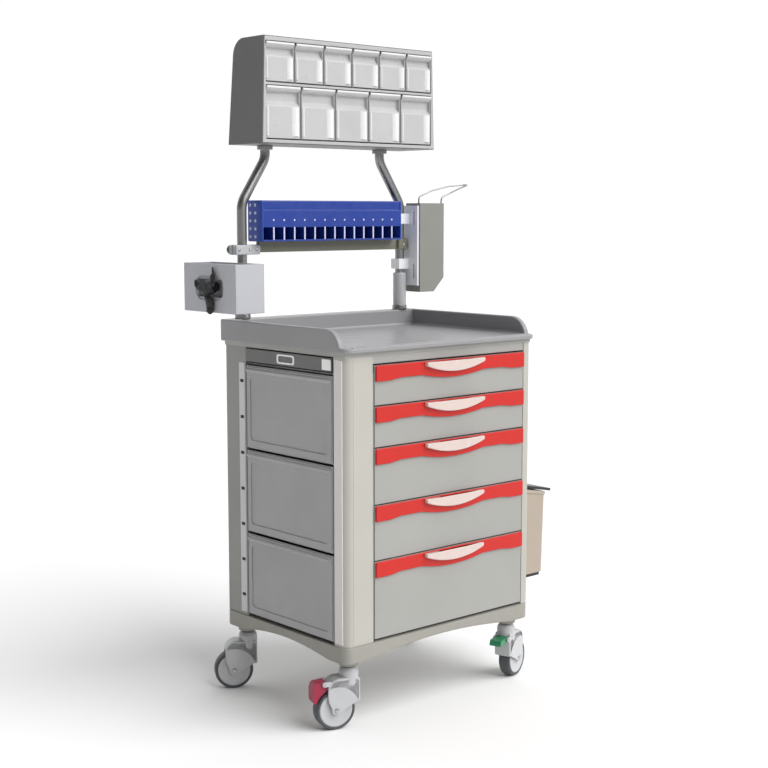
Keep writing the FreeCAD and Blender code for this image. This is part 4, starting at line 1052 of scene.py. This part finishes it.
def make_waste_bin():
    """A tapered bin with rounded corners and a rolled rim that slants with its lid."""
    low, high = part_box("waste_bin")
    rim_left = high.z
    rim_right = CORNER.z + 478 * MM
    taper = 8 * MM
    thick = 3 * MM
    corner = 14 * MM
    beige = MATERIALS["waste_beige"]

    def ring(height, grow):
        """The outline at a part of the height, grown outwards, with its own height at each point."""
        right = high.x - taper * (1 - height)
        plan = round_rect(low.x - grow, low.y - grow, right + grow, high.y + grow, [corner + grow] * 4, 6)
        points = []
        for x, y in plan:
            slant = (x - low.x) / (high.x - low.x)
            top = rim_left + (rim_right - rim_left) * slant
            points.append((x, y, low.z + (top - low.z) * height))
        return points

    levels = [(0, -0.004), (0.004, -0.0012), (0.015, 0), (0.25, 0), (0.5, 0), (0.94, 0), (0.95, 0.0022), (0.955, 0.003)]
    levels += [(0.98, 0.003), (0.988, 0.0015), (0.988, -0.0018), (0.975, -thick), (0.5, -thick), (0.02, -thick)]
    bm = bmesh.new()
    rings = [[bm.verts.new(point) for point in ring(height, grow)] for height, grow in levels]
    for here, above in zip(rings, rings[1:]):
        for n in range(len(here)):
            m = (n + 1) % len(here)
            bm.faces.new((here[n], here[m], above[m], above[n]))
    bm.faces.new(rings[0][::-1])
    bm.faces.new(rings[-1])
    skin = weigh_normals(shade(add_object("waste_tub", bm, beige), 40))
    finish_piece(skin, "chassis", "waste_beige", "waste_bin")


# ---------------------------------------------------------------- casters


def make_caster(name):
    """A swivel fork with a moulded fender and a domed crown, and a wheel with pale covers and a dark tread."""
    stem = joint_place(f"swivel_{name}_turn")
    wheel = joint_place(f"wheel_{name}_spin")
    axle = joint_axis(f"wheel_{name}_spin")
    trail = Vector((wheel.x - stem.x, wheel.y - stem.y, 0)).normalized()
    across = Vector((-trail.y, trail.x, 0))
    turn = Matrix((trail, across, Vector((0, 0, 1)))).transposed().to_4x4()
    move = Matrix.Translation((stem.x, stem.y, 0)) @ turn
    grey = MATERIALS["caster_grey"]
    reach = math.hypot(wheel.x - stem.x, wheel.y - stem.y)
    radius = wheel.z

    pieces = []
    stem_side = -0.0218
    cheek = [(stem_side, 0.122), (stem_side + 0.0015, 0.074), (stem_side + 0.007, 0.0665)]
    cheek += arc_between((reach - 0.012, 0.045), (reach + 0.012, 0.044), -0.0065, 8)
    cheek += arc_between((reach + 0.013, 0.056), (reach + 0.0225, 0.098), -0.004, 6)
    cheek += arc_between((reach + 0.0225, 0.098), (reach + 0.006, 0.124), -0.005, 6)[1:]
    for side, y in (("a", -0.0224), ("b", 0.0176)):
        pieces.append(prism(f"cheek_{name}_{side}", cheek, "y", y, y + 0.0048, grey, 0.0018, 3))
    around = [
        (reach + 0.054 * math.cos(math.radians(angle)), radius + 0.054 * math.sin(math.radians(angle)))
        for angle in range(164, 65, -7)
    ]
    hood = [(stem_side, 0.066), (stem_side, 0.120), (stem_side + 0.004, 0.1275), (reach - 0.004, 0.1275)]
    hood += arc_between((reach - 0.004, 0.1275), (reach + 0.0225, 0.104), 0.006, 8)[1:]
    hood += around[::-1]
    pieces.append(prism(f"hood_{name}", hood, "y", -0.0224, 0.0224, grey, 0.0046, 4))
    crown = [
        (0, 0.1514),
        (0.0110, 0.1512),
        (0.0165, 0.1496),
        (0.0205, 0.1465),
        (0.0230, 0.1420),
        (0.0239, 0.1365),
        (0.0240, 0.1120),
        (0.0228, 0.1070),
        (0, 0.1062),
    ]
    pieces.append(lathe(f"crown_{name}", crown, (0, 0, 0), (0, 0, 1), grey, 56))
    ring = [(0.0, 0.1530), (0.0185, 0.1530), (0.0185, 0.1505), (0.0, 0.1505)]
    pieces.append(lathe(f"race_{name}", ring, (0, 0, 0), (0, 0, 1), DARK, 40))
    for side in (-1, 1):
        cap = [(0, 0.0030), (0.0035, 0.0028), (0.0058, 0.0020), (0.0066, 0.0008), (0.0068, -0.001), (0, -0.001)]
        pieces.append(lathe(f"axle_cap_{name}_{side}", cap, (reach, side * 0.0228, radius), (0, side, 0), SCREW, 28))
    if name in PEDAL_OF:
        pin = joint_place(f"{PEDAL_OF[name]}_pedal_press")
        away = 1 if PEDAL_OF[name] == "brake" else -1
        out = away * math.hypot(pin.x - stem.x, pin.y - stem.y)
        for side, y in (("a", -0.0226), ("b", 0.0176)):
            span = sorted((out + away * 0.006, out - away * 0.018))
            outline = round_rect(span[0], pin.z - 0.006, span[1], pin.z + 0.006, [0.005] * 4, 5)
            pieces.append(prism(f"lug_{name}_{side}", outline, "y", y, y + 0.005, grey, 0.0012, 2))
        start = move.inverted() @ pin
        pieces.append(disc(f"pedal_pin_{name}", (start.x, -0.024, pin.z), (0, 1, 0), 0.0025, 0.048, SCREW, 0.0006, 24))
    fork = join(f"caster_body_{name}", pieces)
    fork.data.transform(move)
    finish_piece(fork, f"swivel_{name}", "caster_grey", f"caster_fork_{name}")

    half = 0.016
    hub_radius = 0.0425
    cover = [
        (0, half + 0.0010),
        (0.0060, half + 0.0010),
        (0.0070, half),
        (0.0110, half - 0.0002),
        (0.0125, half - 0.0022),
        (0.0300, half - 0.0030),
        (0.0335, half - 0.0012),
        (0.0400, half - 0.0006),
        (hub_radius, half - 0.0020),
    ]
    whole = cover + [(r, -h) for r, h in reversed(cover)]
    hub = lathe(f"hub_{name}", whole, wheel, axle, grey, 64)
    tread = [
        (hub_radius - 0.0015, half - 0.003),
        (hub_radius + 0.0006, half - 0.0004),
        (0.0465, half - 0.0002),
        (0.0488, half - 0.0022),
        (radius, half - 0.0062),
        (radius, -half + 0.0062),
        (0.0488, -half + 0.0022),
        (0.0465, -half + 0.0002),
        (hub_radius + 0.0006, -half + 0.0004),
        (hub_radius - 0.0015, -half + 0.003),
        (hub_radius - 0.0015, half - 0.003),
    ]
    tyre = lathe(f"tyre_{name}", tread, wheel, axle, MATERIALS["caster_wheel"], 72)
    finish_piece(join(f"wheel_{name}", [hub, tyre]), f"wheel_{name}", "caster_wheel", f"caster_wheel_{name}")


# ---------------------------------------------------------------- small parts


def make_panel_screws():
    """Screws round the back panel and the right side panel."""
    low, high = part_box("cabinet_panels")
    screws = []
    back = high.y
    for n in range(6):
        z = low.z + 0.03 + n * (high.z - low.z - 0.06) / 5
        for x in (low.x + 0.012, high.x - 0.036):
            screws.append(screw(f"back_screw_{n}_{x:.2f}", (x, back, z), (0, 1, 0), 0.0036))
    for n in range(5):
        z = low.z + 0.03 + n * (high.z - low.z - 0.06) / 4
        for y in (CORNER.y + 34 * MM, CORNER.y + 441 * MM):
            screws.append(screw(f"side_screw_{n}_{y:.2f}", (high.x, y, z), (1, 0, 0), 0.0036))
    finish_piece(join("panel_screws", screws), "chassis", "mast_steel")


PEDAL_OF = {"fl": "brake", "fr": "lock"}
OWN_SHAPE = {"base_deck", "corner_posts", "front_stile", "worktop", "pocket_rack", "mast_rail", "glove_holder"}
OWN_SHAPE |= {"glove", "waste_bin"}
OWN_SHAPE |= {n for n in frame["nodes"] if n.startswith(("caster_", "low_bin", "top_bin"))}
ROUNDING = {
    "drawer_handle": (0.0028, 4),
    "drawer_trim": (0.0022, 4),
    "drawer": (0.0016, 3),
    "side_bin": (0.0020, 3),
    "brake_pedal": (0.0030, 4),
    "lock_pedal": (0.0026, 4),
    "waste_lid": (0.0020, 3),
    "side_pocket": (0.0014, 3),
    "bin_cabinet": (0.0016, 3),
}


def dress_all():
    """Softens each node that has no shape of its own below."""
    for node in sorted(frame["nodes"]):
        if node in OWN_SHAPE:
            continue
        stem = node.rstrip("0123456789").rstrip("_")
        dress(node, *ROUNDING.get(stem, (0.0012, 3)))


dress_all()
make_base()
make_posts()
make_worktop()
make_shelf_details()
make_side_bin_fronts()
for bin_number in range(1, 6):
    make_tilt_bin("low", bin_number)
for bin_number in range(1, 7):
    make_tilt_bin("top", bin_number)
make_cabinet_bezel()
make_rack()
make_rail()
make_mast_details()
make_glove_holder()
make_glove()
make_waste_bin()
for caster_name in ("fl", "fr", "rl", "rr"):
    make_caster(caster_name)
make_panel_screws()


# ---------------------------------------------------------------- stage, light and camera


def make_floor():
    bm = bmesh.new()
    bmesh.ops.create_grid(bm, x_segments=2, y_segments=2, size=30)
    material, tree, shader = new_material("floor")
    tinted(tree, shader, (0.90, 0.90, 0.90), 0.01, 0.6)
    shader.inputs["Roughness"].default_value = 0.9
    shader.inputs["Specular IOR Level"].default_value = 0.1
    add_object("floor", bm, material)


def sun_light(name, source, spread_degrees, power):
    """A far soft light whose direction is from source to the origin."""
    light = bpy.data.lights.new(name, "SUN")
    light.angle = math.radians(spread_degrees)
    light.energy = power
    obj = bpy.data.objects.new(name, light)
    obj.rotation_euler = (-Vector(source)).to_track_quat("-Z", "Y").to_euler()
    SCENE.collection.objects.link(obj)


def make_light():
    world = bpy.data.worlds.new("studio")
    world.use_nodes = True
    tree = world.node_tree
    background = tree.nodes["Background"]
    background.inputs["Color"].default_value = (1, 1, 1, 1)
    direction = tree.nodes.new("ShaderNodeTexCoord")
    toward = tree.nodes.new("ShaderNodeVectorMath")
    toward.operation = "DOT_PRODUCT"
    toward.inputs[1].default_value = (0.60, 0.68, 0.35)
    strength = tree.nodes.new("ShaderNodeMapRange")
    strength.inputs["From Min"].default_value = -0.10
    strength.inputs["From Max"].default_value = 0.85
    strength.inputs["To Min"].default_value = 0.10
    strength.inputs["To Max"].default_value = 1.05
    tree.links.new(direction.outputs["Generated"], toward.inputs[0])
    tree.links.new(toward.outputs["Value"], strength.inputs["Value"])
    seen = tree.nodes.new("ShaderNodeLightPath")
    backdrop = tree.nodes.new("ShaderNodeMix")
    backdrop.inputs["B"].default_value = 1.02
    tree.links.new(seen.outputs["Is Camera Ray"], backdrop.inputs["Factor"])
    tree.links.new(strength.outputs["Result"], backdrop.inputs["A"])
    tree.links.new(backdrop.outputs["Result"], background.inputs["Strength"])
    SCENE.world = world
    sun_light("key", (1.2, -3.0, 3.0), 60, 3.25)
    SCENE.view_settings.view_transform = "Standard"


def make_camera():
    camera = bpy.data.cameras.new("camera")
    camera.sensor_width = 36
    camera.lens = 67.25
    camera.clip_end = 100
    obj = bpy.data.objects.new("camera", camera)
    obj.location = CORNER + Vector((-2.1128, -2.5118, 1.2321))
    obj.rotation_euler = (math.radians(90 - 6.83), 0, math.radians(-41.63))
    SCENE.collection.objects.link(obj)
    SCENE.camera = obj


make_floor()
make_light()
make_camera()
